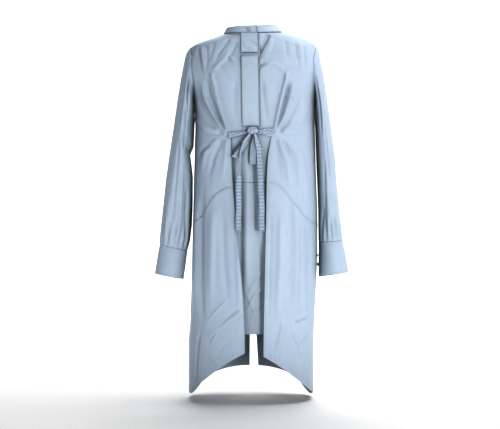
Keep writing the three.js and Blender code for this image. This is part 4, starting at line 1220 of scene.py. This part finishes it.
def make_sleeve(side):
    name = SIDE_NAME[side]
    body = f"arm_{name}"

    def sleeve(s, t):
        return on_sleeve(side, 2 * math.pi * s, 1.006 * t, -1.6 * smooth((t - 0.985) / 0.012))

    def binding(s, t):
        return on_sleeve(side, lerp(*LAP, s), lerp(0.833, 0.995, t), 1.4)

    def band(s, t):
        ripple = 0.5 * np.sin(8 * math.pi * s + 2 * t) * smooth(t * 3)
        return on_cuff(side, 2 * math.pi * s, lerp(0.004, 1, t), 2.6 + ripple)

    def facing(s, t):
        return on_cuff(side, 2 * math.pi * s, lerp(0.01, 0.992, t), 0.2)

    def inlay(s, t):
        return on_cuff(side, 2 * math.pi * s, lerp(0.02, 0.975, t), 1.2)

    def lap(s, t):
        return on_cuff(side, lerp(*LAP, s), lerp(0.01, 0.995, t), 4.0)

    along = Vector((side * 0.9, 0, -0.436))
    cloth = sewn(f"sleeve_poplin_{name}", sleeve, 132, 190, wrap=True, middle=ring_middle)
    bend(cloth, body, along * {RIGHT: 240, LEFT: 258}[side], along, 145, f"sleeve_{name}")
    rows = [(s, (0.02, 0.98), 30) for s in (0.1, 0.9)]
    place_on(sewn(f"slit_binding_poplin_{name}", binding, 12, 40, rows, thick=0.8, lift=0.6,
                  middle=(side * 228, -20)), body, f"slit_binding_{name}")
    rows = [((0, 1), t, 160) for t in (0.07, 0.93)]
    place_on(sewn(f"cuff_band_{name}", band, 120, 26, rows, thick=1.0, lift=0.7, wrap=True,
                  middle=ring_middle, rows_middle=(side * 235, -16)), body, f"cuff_outer_{name}")
    place_on(sewn(f"cuff_facing_{name}", facing, 90, 16, wrap=True, middle=ring_middle),
             body, f"cuff_inner_{name}")
    place_on(sewn(f"cuff_inlay_{name}", inlay, 90, 14, (), (INTERLINING,), thick=0.5, wrap=True,
                  middle=ring_middle), body, f"cuff_interlining_{name}", slot="interlining")
    rows = [(s, (0.06, 0.94), 30) for s in (0.12, 0.88)]
    place_on(sewn(f"cuff_lap_poplin_{name}", lap, 14, 26, rows, thick=1.1, lift=0.75,
                  middle=(side * 236, -18)), body, f"cuff_lap_{name}")


# ---------------------------------------------------------------- making everything
for side in (RIGHT, LEFT):
    make_front(side)
    make_skirt(side)
    make_sleeve(side)
make_back()
make_centre()
make_placket()
make_collar()
make_tie()
make_buttons()


# ---------------------------------------------------------------- studio sweep
FLOOR = -1.058  # metres, under the cuffs and hems
WALL, BEND = 9, 3  # how far back the sweep turns upright, and the radius it turns on


def make_sweep():
    profile = [(y, FLOOR) for y in np.linspace(-8, WALL - BEND, 15)]
    profile += [(WALL - BEND + BEND * math.sin(a), FLOOR + BEND * (1 - math.cos(a)))
                for a in np.linspace(0.15, 1, 8) * QUARTER]
    profile += [(WALL, 4), (WALL, 7)]
    mesh = bpy.data.meshes.new("studio_sweep")
    bm = bmesh.new()
    rows = [[bm.verts.new((x, y, z)) for x in np.linspace(-12, 12, 9)] for y, z in profile]
    for a, b in zip(rows, rows[1:]):
        for i in range(8):
            bm.faces.new((a[i], a[i + 1], b[i + 1], b[i])).smooth = True
    bm.to_mesh(mesh)
    bm.free()
    mesh.materials.append(painted_floor())
    sweep = bpy.data.objects.new("studio_sweep", mesh)
    scene.collection.objects.link(sweep)


make_sweep()
